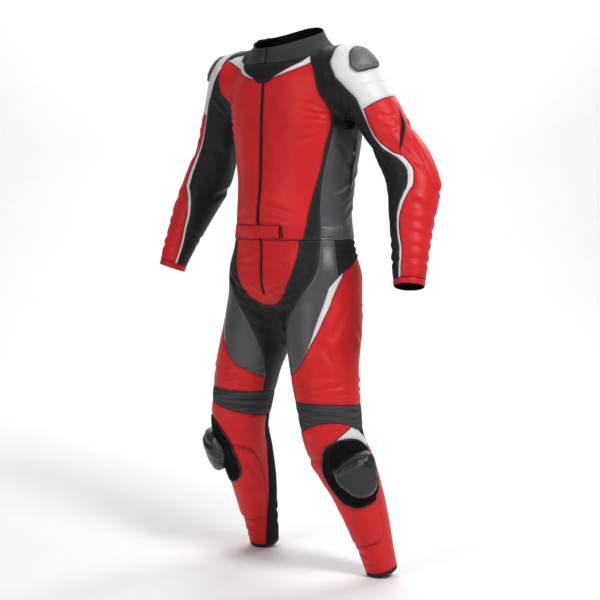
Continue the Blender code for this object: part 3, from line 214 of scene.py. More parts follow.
# seams down the leg
THIGH_INNER = [
    Line(0.000, 46, 46), Line(0.035, 44, 44), Line(0.070, 41, 41), Line(0.100, 38, 38),
    Line(0.130, 30, 29), Line(0.157, 18, 18), Line(0.185, 5, 5), Line(0.210, -10, -10),
    Line(0.230, -22, -22), Line(0.266, -42, -42), Line(0.300, -62, -62), Line(0.350, -80, -80),
    Line(0.420, -84, -84),
]  # fmt: skip
THIGH_OUTER = [
    Line(0.000, 79, 79), Line(0.084, 80, 80), Line(0.113, 76, 76), Line(0.133, 57, 57),
    Line(0.164, 49, 49), Line(0.197, 44, 44), Line(0.271, 30, 28), Line(0.313, 15, 8),
    Line(0.331, 4, -7), Line(0.342, -14, -28), Line(0.350, -48, -58), Line(0.357, -86, -90),
    Line(0.366, -125, -125), Line(0.420, -125, -125),
]  # fmt: skip
FLASH_WIDE = [
    Line(0.000, -4, -4), Line(0.104, -4, -4), Line(0.114, 1, 1), Line(0.133, 12, 12),
    Line(0.164, 11, 11), Line(0.190, 10.5, 10.5), Line(0.250, 8, 8), Line(0.290, 4, 4),
    Line(0.312, -0.5, -0.5), Line(0.340, -8, -8), Line(0.420, -30, -30),
]  # fmt: skip
SEAT_EDGE = [Line(0.000, 262, 262), Line(0.120, 250, 250), Line(0.190, 238, 238), Line(0.260, 226, 226),
             Line(0.420, 216, 216)]  # fmt: skip
BAND_TOP = [Line(-180, 0.412, 0.412), Line(-90, 0.395, 0.390), Line(-26, 0.408, 0.402),
            Line(30, 0.421, 0.412), Line(64, 0.427, 0.418), Line(110, 0.432, 0.424),
            Line(180, 0.412, 0.412)]  # fmt: skip
BAND_LOW = [Line(-180, 0.478, 0.478), Line(-104, 0.466, 0.460), Line(-26, 0.470, 0.452),
            Line(12, 0.463, 0.449), Line(38, 0.461, 0.450), Line(77, 0.472, 0.462),
            Line(103, 0.492, 0.482), Line(140, 0.490, 0.484), Line(180, 0.478, 0.478)]  # fmt: skip
KNEE_FLASH = [Line(0.440, 125, 97), Line(0.468, 97, 69), Line(0.481, 78, 50), Line(0.492, 56, 28),
              Line(0.502, 36, 8), Line(0.520, 14, -14), Line(0.560, 8, -20)]  # fmt: skip
FLASH_END = 0.548
CALF_INNER = [Line(0.440, 254, 254), Line(0.548, 250, 250), Line(0.606, 262, 262), Line(0.666, 270, 270),
              Line(0.725, 277, 277), Line(0.783, 292, 292), Line(0.870, 308, 308)]  # fmt: skip
CALF_OUTER = [Line(0.440, 84, 84), Line(0.492, 103, 103), Line(0.520, 125, 125), Line(0.560, 142, 142),
              Line(0.650, 155, 155), Line(0.870, 165, 165)]  # fmt: skip
# the two limbs' outlines; on the right each sits a step higher
KNEE_PATCH = Oval(0.583, 54, 28, 0.086, 61, 2.3, 0.0, 0.014)
KNEE_PUCK = Oval(0.586, 60, 31, 0.052, 36.5, 2.6, -0.40, 0.022)
SHOULDER_CUP = Oval(0.178, 70, 70, 0.024, 33, 2.6, 0.45, 0.0)
# stretch gusset over the upper arm: its middle, and half its width in metres
GUSSET = [
    Lens(0.290, 104, -0.004), Lens(0.304, 100, 0.000), Lens(0.322, 96, 0.005), Lens(0.342, 84, 0.0065),
    Lens(0.365, 62, 0.0055), Lens(0.385, 44, 0.003), Lens(0.400, 32, 0.000), Lens(0.418, 18, -0.004),
]  # fmt: skip
# lower edge of the ribbed panel round the back of the waist
RIBS_EDGE = [Turn(-0.544, 80), Turn(-0.509, 104), Turn(-0.496, 130), Turn(-0.490, 180)]
# heights of the hard pieces' tops at each depth in from their outline
PUCK_TOP = [Rise(0.000, 0.008), Rise(0.006, 0.020), Rise(0.016, 0.026), Rise(0.050, 0.028)]
CUP_TOP = [Rise(0.000, 0.004), Rise(0.008, 0.010), Rise(0.030, 0.014)]
# lines that let the shoulder bend under its cup
CUP_LINES = (0.140, 0.168, 0.183, 0.198, 0.225)
CUP_TURNS = (30.0, 55.0, 80.0, 120.0)
BELT_TURN = (-53.0, 29.0)
BELT_Z = (-0.458, -0.427)
TAB_TURN = (69.0, 88.0)
TAB_Z = (-0.456, -0.430)

BOTH = ("left", "right")
# creases: the chart, its sides, depth, half width, and the line's place along and degrees round
CREASES = [
    # drawn in under the arms, front and back
    Crease("body", BOTH, 0.0020, 0.0044, [(-0.138, 50), (-0.148, 59), (-0.160, 68)]),
    Crease("body", BOTH, 0.0020, 0.0040, [(-0.158, 52), (-0.166, 61), (-0.173, 70)]),
    Crease("body", BOTH, 0.0018, 0.0040, [(-0.179, 52), (-0.182, 62), (-0.184, 71)]),
    Crease("body", BOTH, 0.0020, 0.0050, [(-0.208, 54), (-0.202, 62), (-0.196, 70)]),
    Crease("body", ("left",), 0.0020, 0.0060, [(-0.232, 50), (-0.220, 60), (-0.205, 68)]),
    Crease("body", BOTH, 0.0032, 0.0058, [(-0.148, 144), (-0.164, 133), (-0.186, 122)]),
    Crease("body", BOTH, 0.0028, 0.0052, [(-0.186, 150), (-0.194, 138), (-0.198, 126)]),
    Crease("body", BOTH, 0.0024, 0.0060, [(-0.230, 148), (-0.216, 137), (-0.206, 126)]),
    # soft diagonals down the sides
    Crease("body", BOTH, 0.0024, 0.0085, [(-0.226, 80), (-0.258, 88), (-0.300, 93)]),
    Crease("body", BOTH, 0.0026, 0.0075, [(-0.292, 118), (-0.330, 106), (-0.372, 84)]),
    Crease("body", BOTH, 0.0024, 0.0065, [(-0.350, 122), (-0.374, 110), (-0.404, 92)]),
    Crease("body", BOTH, 0.0020, 0.0060, [(-0.392, 118), (-0.410, 106), (-0.426, 92)]),
    # across the belly and the chest
    Crease("body", ("left",), 0.0026, 0.0080, [(-0.372, 6), (-0.388, 22), (-0.408, 50)]),
    Crease("body", ("left",), 0.0020, 0.0070, [(-0.402, 8), (-0.410, 26), (-0.420, 44)]),
    Crease("body", ("right",), 0.0022, 0.0070, [(-0.385, 8), (-0.400, 24), (-0.412, 46)]),
    # across the small of the back
    Crease("body", BOTH, 0.0030, 0.0075, [(-0.352, 134), (-0.364, 152), (-0.362, 174)]),
    Crease("body", ("left",), 0.0026, 0.0065, [(-0.386, 138), (-0.392, 160), (-0.388, 186)]),
    Crease("body", ("right",), 0.0028, 0.0070, [(-0.404, 136), (-0.414, 154), (-0.412, 182)]),
    Crease("body", ("left",), 0.0022, 0.0060, [(-0.428, 142), (-0.432, 160)]),
    Crease("body", BOTH, 0.0020, 0.0090, [(-0.110, 136), (-0.160, 150), (-0.220, 156)]),
    # fly and hips
    Crease("body", BOTH, 0.0018, 0.0055, [(-0.500, 5), (-0.514, 18), (-0.522, 34)]),
    Crease("body", ("left",), 0.0022, 0.0050, [(-0.590, 4), (-0.582, 14), (-0.566, 26)]),
    Crease("body", ("right",), 0.0022, 0.0050, [(-0.604, 4), (-0.590, 16), (-0.578, 24)]),
    # seat
    Crease("body", BOTH, 0.0024, 0.0080, [(-0.540, 120), (-0.556, 142), (-0.560, 166)]),
    # groin
    Crease("leg_", BOTH, 0.0030, 0.0058, [(0.118, 26), (0.150, 2), (0.166, -30)]),
    Crease("leg_", BOTH, 0.0028, 0.0052, [(0.148, 16), (0.176, -14), (0.186, -44)]),
    Crease("leg_", BOTH, 0.0024, 0.0055, [(0.190, -4), (0.206, -28), (0.212, -62)]),
    Crease("leg_", BOTH, 0.0022, 0.0060, [(0.232, -22), (0.240, -48), (0.238, -76)]),
    # outside of the thighs
    Crease("leg_", BOTH, 0.0018, 0.0085, [(0.170, 84), (0.230, 74), (0.290, 58)]),
    Crease("leg_", ("left",), 0.0014, 0.0090, [(0.286, 34), (0.310, 48), (0.338, 58)]),
    Crease("leg_", BOTH, 0.0020, 0.0080, [(0.236, 96), (0.262, 112), (0.280, 130)]),
    # under the seat and down the back of the thighs
    Crease("leg_", BOTH, 0.0032, 0.0070, [(0.186, 128), (0.204, 160), (0.202, 204)]),
    Crease("leg_", BOTH, 0.0026, 0.0065, [(0.226, 140), (0.236, 168), (0.230, 198)]),
    Crease("leg_", BOTH, 0.0022, 0.0070, [(0.300, 132), (0.310, 158), (0.304, 190)]),
    # over the left knee band
    Crease("leg_", ("left",), 0.0028, 0.0056, [(0.386, -20), (0.390, 30), (0.383, 92)]),
    Crease("leg_", ("left",), 0.0026, 0.0046, [(0.399, -24), (0.404, 36), (0.402, 98)]),
    Crease("leg_", ("left",), 0.0024, 0.0044, [(0.416, 52), (0.421, 74), (0.421, 98)]),
    Crease("leg_", ("left",), 0.0014, 0.0050, [(0.358, 36), (0.364, 48), (0.370, 62)]),
    Crease("leg_", ("left",), 0.0014, 0.0050, [(0.362, 76), (0.366, 90), (0.362, 104)]),
    Crease("leg_", ("left",), 0.0030, 0.0055, [(0.378, 118), (0.388, 150), (0.384, 186)]),
    Crease("leg_", ("left",), 0.0028, 0.0050, [(0.402, 122), (0.400, 160), (0.396, 208)]),
    # over the right knee band
    Crease("leg_", ("right",), 0.0032, 0.0054, [(0.358, 12), (0.348, -34), (0.334, -78)]),
    Crease("leg_", ("right",), 0.0030, 0.0046, [(0.371, 8), (0.360, -40), (0.350, -80)]),
    Crease("leg_", ("right",), 0.0030, 0.0046, [(0.384, 2), (0.372, -36), (0.363, -76)]),
    Crease("leg_", ("right",), 0.0026, 0.0044, [(0.393, -8), (0.386, -36), (0.377, -70)]),
    Crease("leg_", ("right",), 0.0026, 0.0055, [(0.372, 34), (0.384, 66), (0.380, 100)]),
    Crease("leg_", ("right",), 0.0028, 0.0055, [(0.390, 112), (0.396, 150), (0.388, 196)]),
    Crease("leg_", ("right",), 0.0026, 0.0050, [(0.362, 124), (0.368, 156), (0.366, 186)]),
    # on the bands themselves and below them
    Crease("leg_", ("right",), 0.0024, 0.0050, [(0.458, 6), (0.461, -44), (0.452, -90)]),
    Crease("leg_", ("right",), 0.0018, 0.0060, [(0.486, -6), (0.494, -36), (0.488, -70)]),
    Crease("leg_", BOTH, 0.0016, 0.0055, [(0.432, -60), (0.438, -10), (0.446, 50)]),
    Crease("leg_", ("left",), 0.0016, 0.0060, [(0.482, -30), (0.492, -4), (0.490, 26)]),
    # behind the knees
    Crease("leg_", BOTH, 0.0034, 0.0060, [(0.506, 142), (0.516, 176), (0.508, 218)]),
    Crease("leg_", BOTH, 0.0036, 0.0056, [(0.536, 136), (0.544, 172), (0.538, 224)]),
    Crease("leg_", BOTH, 0.0032, 0.0056, [(0.566, 146), (0.570, 180), (0.562, 216)]),
    Crease("leg_", BOTH, 0.0024, 0.0060, [(0.600, 156), (0.606, 182), (0.600, 212)]),
    # shins and ankles
    Crease("leg_", BOTH, 0.0018, 0.0075, [(0.530, -64), (0.580, -50), (0.640, -58)]),
    Crease("leg_", BOTH, 0.0022, 0.0065, [(0.792, -66), (0.800, -20), (0.794, 34)]),
    Crease("leg_", BOTH, 0.0018, 0.0055, [(0.820, -30), (0.826, 20), (0.818, 70)]),
    Crease("leg_", BOTH, 0.0024, 0.0065, [(0.770, 170), (0.780, 200), (0.776, 250)]),
    Crease("leg_", BOTH, 0.0020, 0.0060, [(0.806, 150), (0.812, 190), (0.808, 240)]),
    # where the sleeves fold against the body
    Crease("arm_", BOTH, 0.0024, 0.0065, [(0.192, -12), (0.214, -32), (0.228, -54)]),
    Crease("arm_", BOTH, 0.0018, 0.0058, [(0.224, -8), (0.240, -28), (0.250, -50)]),
    Crease("arm_", BOTH, 0.0020, 0.0065, [(0.200, 198), (0.218, 218), (0.230, 238)]),
    Crease("arm_", BOTH, 0.0016, 0.0080, [(0.128, 12), (0.160, -12), (0.196, -20)]),
    # inside of the elbows
    Crease("arm_", BOTH, 0.0015, 0.0070, [(0.372, -46), (0.386, -20), (0.390, 10)]),
    Crease("arm_", BOTH, 0.0014, 0.0066, [(0.404, -54), (0.410, -26), (0.406, 4)]),
    Crease("arm_", BOTH, 0.0014, 0.0070, [(0.432, -56), (0.432, -24), (0.424, 14)]),
    Crease("arm_", BOTH, 0.0011, 0.0070, [(0.462, -46), (0.456, -20), (0.446, 10)]),
    Crease("arm_", BOTH, 0.0010, 0.0070, [(0.494, -50), (0.484, -24), (0.476, 2)]),
    # the seam that crosses the shoulder panel under its cup
    Crease("arm_", BOTH, 0.0009, 0.0026, [(0.226, 22), (0.231, 62), (0.236, 104)]),
    # outside of the sleeves
    Crease("arm_", BOTH, 0.0022, 0.0060, [(0.300, 30), (0.316, 52), (0.320, 74)]),
    Crease("arm_", BOTH, 0.0020, 0.0060, [(0.330, 24), (0.344, 42), (0.350, 60)]),
    Crease("arm_", BOTH, 0.0022, 0.0065, [(0.336, 112), (0.352, 138), (0.354, 168)]),
    Crease("arm_", BOTH, 0.0026, 0.0060, [(0.372, 160), (0.384, 186), (0.380, 214)]),
    Crease("arm_", BOTH, 0.0015, 0.0080, [(0.508, 46), (0.540, 70), (0.560, 104)]),
    Crease("arm_", BOTH, 0.0014, 0.0070, [(0.560, 30), (0.580, 58), (0.588, 92)]),
    Crease("arm_", BOTH, 0.0014, 0.0065, [(0.628, 10), (0.636, 50), (0.630, 96)]),
    Crease("arm_", BOTH, 0.0020, 0.0060, [(0.600, 140), (0.612, 176), (0.606, 216)]),
    Crease("arm_", BOTH, 0.0020, 0.0050, [(0.656, -40), (0.662, 10), (0.658, 60)]),
]
# plates inside the cloth, showing as raised outlines
SHIN_GUARD = Oval(0.650, 5, 5, 0.125, 78, 5.0, 0.0, 0.0)
ELBOW_GUARD = Oval(0.430, 128, 128, 0.072, 48, 2.6, 0.0, 0.0)
# the zips in the side panels, and half widths of their parts
SIDE_ZIP = [Turn(-0.346, 100), Turn(-0.301, 100), Turn(-0.249, 100), Turn(-0.223, 101)]
TAPE_HALF, LIP_OUT, LIP_HALF, LIP_RISE = 0.0050, 0.0056, 0.0016, 0.0013
TOOTH = namedtuple("Tooth", "pitch wide long rise")(0.0016, 0.0013, 0.0011, 0.0011)
STITCH = namedtuple("Stitch", "pitch long half lift sink")(0.0040, 0.0031, 0.00032, 0.00022, 0.00030)
# a stitch is drawn where no other seam comes nearer than this share of its own distance
STITCH_CLEAR = 0.86
# rounded bands along edges: how far in, half width, height
Band = namedtuple("Band", "inward half rise")
PATCH_EDGE, CUP_EDGE, EDGE_PITCH = Band(0.0014, 0.0015, 0.0010), Band(0.0004, 0.0014, 0.0012), 0.0022
# the black strip at the belt tab's end, painting its dark end and the shadow there: degrees in from the tab's
# marked end, half width, under and over
END_IN, END_HALF, END_LOW, END_RISE = 4.6, 0.0019, -0.0008, 0.0006
# rows of stitches: how far in from the piece's edge, and the thread
ROWS = {
    "back": ((0.0028, "red"),), "front": ((0.0028, "red"),), "sleeve": ((0.0028, "red"),),
    "thigh": ((0.0028, "red"),), "shin": ((0.0028, "red"),), "fly_panel": ((0.0028, "red"),),
    "cuff": ((0.0026, "red"),), "shoulder": ((0.0028, "pale"), (0.0062, "pale")),
    "flash": ((0.0022, "pale"),), "thigh_flash": ((0.0022, "pale"),), "knee_flash": ((0.0022, "pale"),),
    "sleeve_inner": ((0.0028, "dark"),), "inner_leg": ((0.0028, "dark"),), "side_strip": ((0.0026, "dark"),),
    "side": ((0.0028, "dark"), (0.0066, "dark")), "thigh_front": ((0.0028, "dark"), (0.0066, "dark")),
    "collar": ((0.0032, "dark"),), "throat_yoke": ((0.0028, "dark"),), "knee_band": ((0.0028, "dark"),),
    "waist_stretch": ((0.0028, "dark"),), "calf": ((0.0028, "dark"),), "belt_tab": ((0.0030, "red"),),
    "side_tab": ((0.0030, "dark"),), "knee_patch": ((0.0036, "dark"),), "hem": ((0.0030, "dark"),),
}  # fmt: skip


# ---------------------------------------------------------------- the form
def smooth_rows(rows, steps=8):
    """The table's rows with a Catmull-Rom curve's rows between them."""
    r = np.array(rows, float)
    r = np.vstack([2 * r[0] - r[1], r, 2 * r[-1] - r[-2]])
    out = []
    for i in range(1, len(r) - 2):
        a, b, c, d = r[i - 1 : i + 3]
        for t in np.arange(steps) / steps:
            bend = (2 * a - 5 * b + 4 * c - d) * t**2 + (3 * b - a - 3 * c + d) * t**3
            out.append(0.5 * (2 * b + (c - a) * t + bend))
    out.append(r[-2])
    return np.array(out)


def mirrored(rows):
    return [row._replace(x=-row.x) for row in rows]


def swung(rows):
    """The right arm's rows: the left's, mirrored, with the forearm a little ahead and up."""
    out = []
    for row in mirrored(rows):
        reach = np.clip((SWING_FROM - row.z) / (SWING_FROM - SWING_FULL), 0, 1)
        ahead = np.clip(1.8 * reach, 0, 1)
        out.append(row._replace(y=row.y - SWING_AHEAD * ahead, z=row.z + SWING_UP * reach))
    return out


def lifted(rows):
    """The right shoulder's rows, carried a little higher and wider than the left's."""
    share = [min(max((row.z + 0.22) / 0.12, 0), 1) for row in rows]
    return [row._replace(x=row.x - 0.4 * RIGHT_LIFT * t, z=row.z + RIGHT_LIFT * t)
            for row, t in zip(rows, share)]


def wrapped(degrees):
    return (degrees + 180) % 360 - 180


class Limb:
    """A tube of quarter-elliptical sections along a centreline, which is also a chart."""

    def __init__(self, rows, side):
        fine = smooth_rows(rows)
        self.line, self.size = fine[:, :3], fine[:, 3:]
        steps = np.linalg.norm(np.diff(self.line, axis=0), axis=1)
        self.along = np.concatenate([[0], np.cumsum(steps)])
        t = np.gradient(self.line, axis=0)
        self.tangent = t / np.linalg.norm(t, axis=1)[:, None]
        front = np.array([0.0, -1.0, 0.0])
        a = front - (self.tangent @ front)[:, None] * self.tangent
        self.ahead = a / np.linalg.norm(a, axis=1)[:, None]
        self.out = -side * np.cross(self.tangent, self.ahead)
        self.side = side

    def frame(self, i, t):
        def mix(a):
            return a[i] * (1 - t)[:, None] + a[i + 1] * t[:, None]

        return mix(self.line), mix(self.tangent), mix(self.ahead), mix(self.out), mix(self.size)

    def local(self, p):
        """Outward, ahead and beyond the nearest section, with its sizes and its place along."""
        start, step = self.line[:-1], np.diff(self.line, axis=0)
        best, i, t = np.full(len(p), np.inf), np.zeros(len(p), int), np.zeros(len(p))
        for k, (a, d) in enumerate(zip(start, step)):
            share = np.clip(((p - a) @ d) / (d @ d), 0, 1)
            far = ((p - a - share[:, None] * d) ** 2).sum(1)
            near = far < best
            best[near], i[near], t[near] = far[near], k, share[near]
        c, tangent, ahead, out, size = self.frame(i, t)
        w = p - c
        along = self.along[i] * (1 - t) + self.along[i + 1] * t
        return (w * out).sum(1), (w * ahead).sum(1), (w * tangent).sum(1), size, along

    def distance(self, p):
        u, v, h, size, _ = self.local(p)
        a = np.where(u > 0, size[:, 0], size[:, 1])
        b = np.where(v > 0, size[:, 2], size[:, 3])
        reach = np.sqrt((u / a) ** 2 + (v / b) ** 2 + (h / np.minimum(a, b)) ** 2)
        reach = np.maximum(reach, 1e-6)
        return np.sqrt(u * u + v * v + h * h) * (1 - 1 / reach)

    def read(self, p):
        """Metres along, degrees round from straight ahead, and metres from the centreline."""
        u, v, _, _, along = self.local(p)
        return along, np.degrees(np.arctan2(u, v)), np.hypot(u, v)

    def ray(self, along, degrees):
        """Centre and direction of the section's ray at each place."""
        along = np.asarray(along, float)
        i = np.clip(np.searchsorted(self.along, along, side="right") - 1, 0, len(self.along) - 2)
        t = (along - self.along[i]) / (self.along[i + 1] - self.along[i])
        c, _, ahead, out, _ = self.frame(i, t)
        r = np.radians(degrees)
        return c, np.cos(r)[:, None] * ahead + np.sin(r)[:, None] * out


BODY = smooth_rows(TORSO)
SIDES = {"left": 1.0, "right": -1.0}
ARMS = {"left": Limb(ARM, 1.0), "right": Limb(lifted(swung(ARM)), -1.0)}
LEGS = {"left": Limb(LEG, 1.0), "right": Limb(mirrored(LEG), -1.0)}
SHOULDERS = {"left": Limb(SHOULDER, 1.0), "right": Limb(lifted(mirrored(SHOULDER)), -1.0)}
ARM_CHARTS = {"left": Limb(ARM_LEAD + ARM, 1.0), "right": Limb(mirrored(ARM_LEAD) + lifted(swung(ARM)), -1.0)}
LEG_CHARTS = {"left": Limb(LEG_LEAD + LEG, 1.0), "right": Limb(mirrored(LEG_LEAD + LEG), -1.0)}


def body_section(z):
    """Middle, half width, front and back depth and squareness of the body at each height."""
    z = np.clip(z, BODY[0, 0], BODY[-1, 0])
    return [np.interp(z, BODY[:, 0], BODY[:, k]) for k in range(1, 6)]


def body_distance(p):
    y, wide, front, back, square = body_section(p[:, 2])
    u, v = p[:, 0], p[:, 1] - y
    h = p[:, 2] - np.clip(p[:, 2], BODY[0, 0], BODY[-1, 0])
    depth = np.where(v < 0, front, back)
    reach = np.abs(u / wide) ** square + np.abs(v / depth) ** square + np.abs(h / (0.6 * wide)) ** square
    reach = np.maximum(reach ** (1 / square), 1e-6)
    return np.sqrt(u * u + v * v + h * h) * (1 - 1 / reach)


def smooth_min(a, b, blend):
    h = np.maximum(blend - np.abs(a - b), 0) / blend
    return np.minimum(a, b) - h * h * blend / 4


def limb_distance(limb, p):
    """Distance from a limb, worked out only near it."""
    low, high = limb.line.min(0) - LIMB_REACH, limb.line.max(0) + LIMB_REACH
    rows = np.flatnonzero(((p > low) & (p < high)).all(1))
    d = np.ones(len(p))
    if len(rows):
        d[rows] = limb.distance(p[rows])
    return d


def distance(p):
    """Signed distance, nearly, from the form's surface."""
    d = body_distance(p)
    for limbs, blend in ((SHOULDERS, BLEND_SHOULDER), (ARMS, BLEND_ARM)):
        for limb in limbs.values():
            d = smooth_min(d, limb_distance(limb, p), blend)
    legs = smooth_min(limb_distance(LEGS["left"], p), limb_distance(LEGS["right"], p), BLEND_CROTCH)
    return smooth_min(d, legs, BLEND_LEG)


def gradient(p, field, step=0.002):
    """Gradient of a field from four points of a tetrahedron."""
    corners = np.array([[1, 1, 1], [1, -1, -1], [-1, 1, -1], [-1, -1, 1]], float)
    return sum(k * field(p + step * k)[:, None] for k in corners) / (4 * step)


def settle(p, rounds=3):
    """Points moved onto the form."""
    for _ in range(rounds):
        g = gradient(p, distance)
        length = np.maximum((g * g).sum(1), 0.05)
        p = p - np.clip(distance(p) / length, -0.03, 0.03)[:, None] * g
    return p


def normals(p):
    g = gradient(p, distance)
    return g / np.linalg.norm(g, axis=1)[:, None]


def onto(p, field, rounds=2):
    """Points moved along the form onto a field's zero line."""
    for _ in range(rounds):
        n = normals(p)
        g = gradient(p, field, 0.001)
        g = g - (g * n).sum(1)[:, None] * n
        length = np.maximum((g * g).sum(1), 0.05)
        p = settle(p - np.clip(field(p) / length, -0.01, 0.01)[:, None] * g, 1)
    return p


# ---------------------------------------------------------------- the cage
class Net:
    """Points, faces and one label for each face."""

    def __init__(self):
        self.points, self.faces, self.labels = [], [], []
        self.fixed = set()

    def add(self, points):
        start = len(self.points)
        self.points.extend(np.asarray(points, float))
        return list(range(start, start + len(points)))

    def face(self, corners, label):
        self.faces.append(list(corners))
        self.labels.append(label)

    def band(self, a, b, label, closed=True):
        for i in range(len(a) if closed else len(a) - 1):
            j = (i + 1) % len(a)
            self.face((a[i], a[j], b[j], b[i]), label)


def body_ray(z, degrees):
    """A point of the body's own section."""
    z = np.broadcast_to(z, np.shape(degrees))
    y, wide, front, back, _ = body_section(z)
    s, c = np.sin(np.radians(degrees)), np.cos(np.radians(degrees))
    return np.stack([wide * s, y - np.where(c > 0, front, back) * c, z], -1)


def neck_base(y):
    """Height of the collar's seam at a depth."""
    share = np.clip((y - NECK_Y) / NECK_HALF, -1, 1)
    return 0.5 * (NECK_FRONT + NECK_BACK) + 0.5 * (NECK_BACK - NECK_FRONT) * share


def shoulder_row(back):
    """Points over one half of the shoulders: neckline in the middle, ridge on both sides."""
    points = []
    for k in np.arange(-TO_ARMHOLE, TO_ARMHOLE) + 0.5:
        side, far = np.sign(k), abs(k)
        if far < TO_NECK:
            a = np.radians(90 * far / TO_NECK)
            y = NECK_Y + back * NECK_HALF * np.cos(a)
            points.append((side * NECK_HALF * np.sin(a), y, neck_base(y)))
        else:
            t = (far - TO_NECK) / (TO_ARMHOLE - TO_NECK)
            x, y, z = (a + b * t for a, b in zip(RIDGE_FROM, RIDGE_BY))
            points.append((side * x, back * y, z))
    return np.array(points)


def body_cage(net):
    """Body rings from armpit to crotch, the chest and back above them, and the collar."""
    turn = (np.arange(TORSO_COLUMNS) + 0.5) * 360 / TORSO_COLUMNS
    heights = np.concatenate([np.linspace(-0.195, -0.435, 8), [WAIST], np.linspace(-0.490, -0.612, 5)])
    rings = [net.add(body_ray(z, turn)) for z in heights]
    for a, b in zip(rings, rings[1:]):
        net.band(a, b, "low")
    top = rings[0]
    halves = []
    for back in (-1, 1):
        if back < 0:
            rows = [[top[i] for i in range(-TO_ARMHOLE, TO_ARMHOLE)]]
        else:
            rows = [[top[TORSO_HALF - 1 - i] for i in range(-TO_ARMHOLE, TO_ARMHOLE)]]
        low, high = np.array([net.points[i] for i in rows[0]]), shoulder_row(back)
        for t in np.arange(1, ROWS_UP + 1) / ROWS_UP:
            middle = low * (1 - t) + high * t
            middle[:, 1] += back * 0.05 * np.sin(np.pi * t)
            rows.append(net.add(middle))
        for a, b in zip(rows, rows[1:]):
            net.band(a, b, "high", closed=False)
        halves.append(rows)
    front, rear = halves
    a, b = TO_ARMHOLE - TO_NECK, TO_ARMHOLE + TO_NECK
    for i in range(2 * TO_ARMHOLE - 1):
        if i < a or i >= b - 1:
            net.face((front[-1][i], front[-1][i + 1], rear[-1][i + 1], rear[-1][i]), "high")
    neck = front[-1][a:b] + rear[-1][a:b][::-1]
    base = np.array([net.points[i] for i in neck])
    row = neck
    for share in (1 / 3, 2 / 3, 1):
        rearward = (base[:, 1] - NECK_Y + NECK_HALF) / (2 * NECK_HALF)
        tall = COLLAR_FRONT + (COLLAR_BACK - COLLAR_FRONT) * rearward
        rise = share * np.stack([0 * tall, 0.05 * tall, tall], -1)
        new = net.add(base + rise)
        net.band(row, new, "high")
        row = new
    return rings, front, rear, row


def armhole(rings, front, rear, side):
    """Loop round the armhole: under the arm from front to back, then over it."""
    under = range(TO_ARMHOLE, TORSO_HALF - TO_ARMHOLE)
    if side == "left":
        column, low = -1, [rings[0][i] for i in under]
    else:
        column, low = 0, [rings[0][-1 - i] for i in under]
    up = [row[column] for row in rear]
    down = [row[column] for row in front][::-1]
    return low + up + down


def arm_cage(net, side, loop):
    limb = ARMS[side]
    placed = settle(np.array([net.points[i] for i in loop]))
    first = limb.read(placed)[1][-1]
    turn = first - 360 / len(loop) * (np.arange(len(loop)) + 1)
    end = limb.along[-1] - CUFF_CUT
    for share in np.arange(1, ARM_ROWS + 1) / ARM_ROWS:
        along = np.full(len(loop), ARM_START + (end - ARM_START) * share)
        centre, ray = limb.ray(along, turn)
        row = net.add(centre + 0.05 * ray)
        net.band(loop, row, "arm_" + side)
        loop = row
    return loop


def leg_cages(net, last):
    """The split at the crotch, and both legs' rows."""
    turn = (np.arange(TORSO_COLUMNS) + 0.5) * 360 / TORSO_COLUMNS
    low = net.add(body_ray(CROTCH_RING, turn))
    middle = net.add(CROTCH)
    for i in range(TORSO_COLUMNS):
        j = (i + 1) % TORSO_COLUMNS
        split = {TORSO_COLUMNS - 1: [middle[0]], TORSO_HALF - 1: [middle[3]]}.get(i, [])
        net.face([last[i], last[j], low[j]] + split + [low[i]], "low")
    ends = []
    for side, half in (("left", low[:TORSO_HALF]), ("right", low[TORSO_HALF:][::-1])):
        limb = LEGS[side]
        loop = [middle[0]] + half + [middle[3], middle[2], middle[1]]
        turns = -35 + 360 / len(loop) * np.arange(len(loop))
        end = limb.along[-1] - HEM_CUT
        for share in np.arange(1, LEG_ROWS + 1) / LEG_ROWS:
            along = np.full(len(loop), LEG_START + (end - LEG_START) * share)
            centre, ray = limb.ray(along, turns)
            row = net.add(centre + 0.07 * ray)
            net.band(loop, row, "low")
            loop = row
        ends.append(loop)
    return ends


def relaxed(points, faces, held, rounds=12):
    """Points evened out over the form, with the openings' edges held."""
    edges = np.array([(f[i - 1], f[i]) for f in faces for i in range(len(f))])
    edges = np.unique(np.sort(edges, axis=1), axis=0)
    count = np.bincount(edges.ravel(), minlength=len(points))
    free = np.ones(len(points), bool)
    free[held] = False
    for _ in range(rounds):
        total = np.zeros_like(points)
        np.add.at(total, edges[:, 0], points[edges[:, 1]])
        np.add.at(total, edges[:, 1], points[edges[:, 0]])
        even = 0.5 * points + 0.5 * total / count[:, None]
        points = settle(np.where(free[:, None], even, points), 1)
    return settle(points)


def make_cage():
    net = Net()
    rings, front, rear, rim = body_cage(net)
    cuffs = [arm_cage(net, side, armhole(rings, front, rear, side)) for side in SIDES]
    hems = leg_cages(net, rings[-1])
    held = sum([rim] + cuffs + hems, [])
    net.points = relaxed(settle(np.array(net.points), 6), net.faces, held)
    out = normals(net.points)
    for face in net.faces:
        p = net.points[face]
        area = sum(np.cross(p[i] - p[0], p[i + 1] - p[0]) for i in range(1, len(face) - 1))
        if area @ out[face].sum(0) < 0:
            face.reverse()
    net.fixed = set(held)
    return net


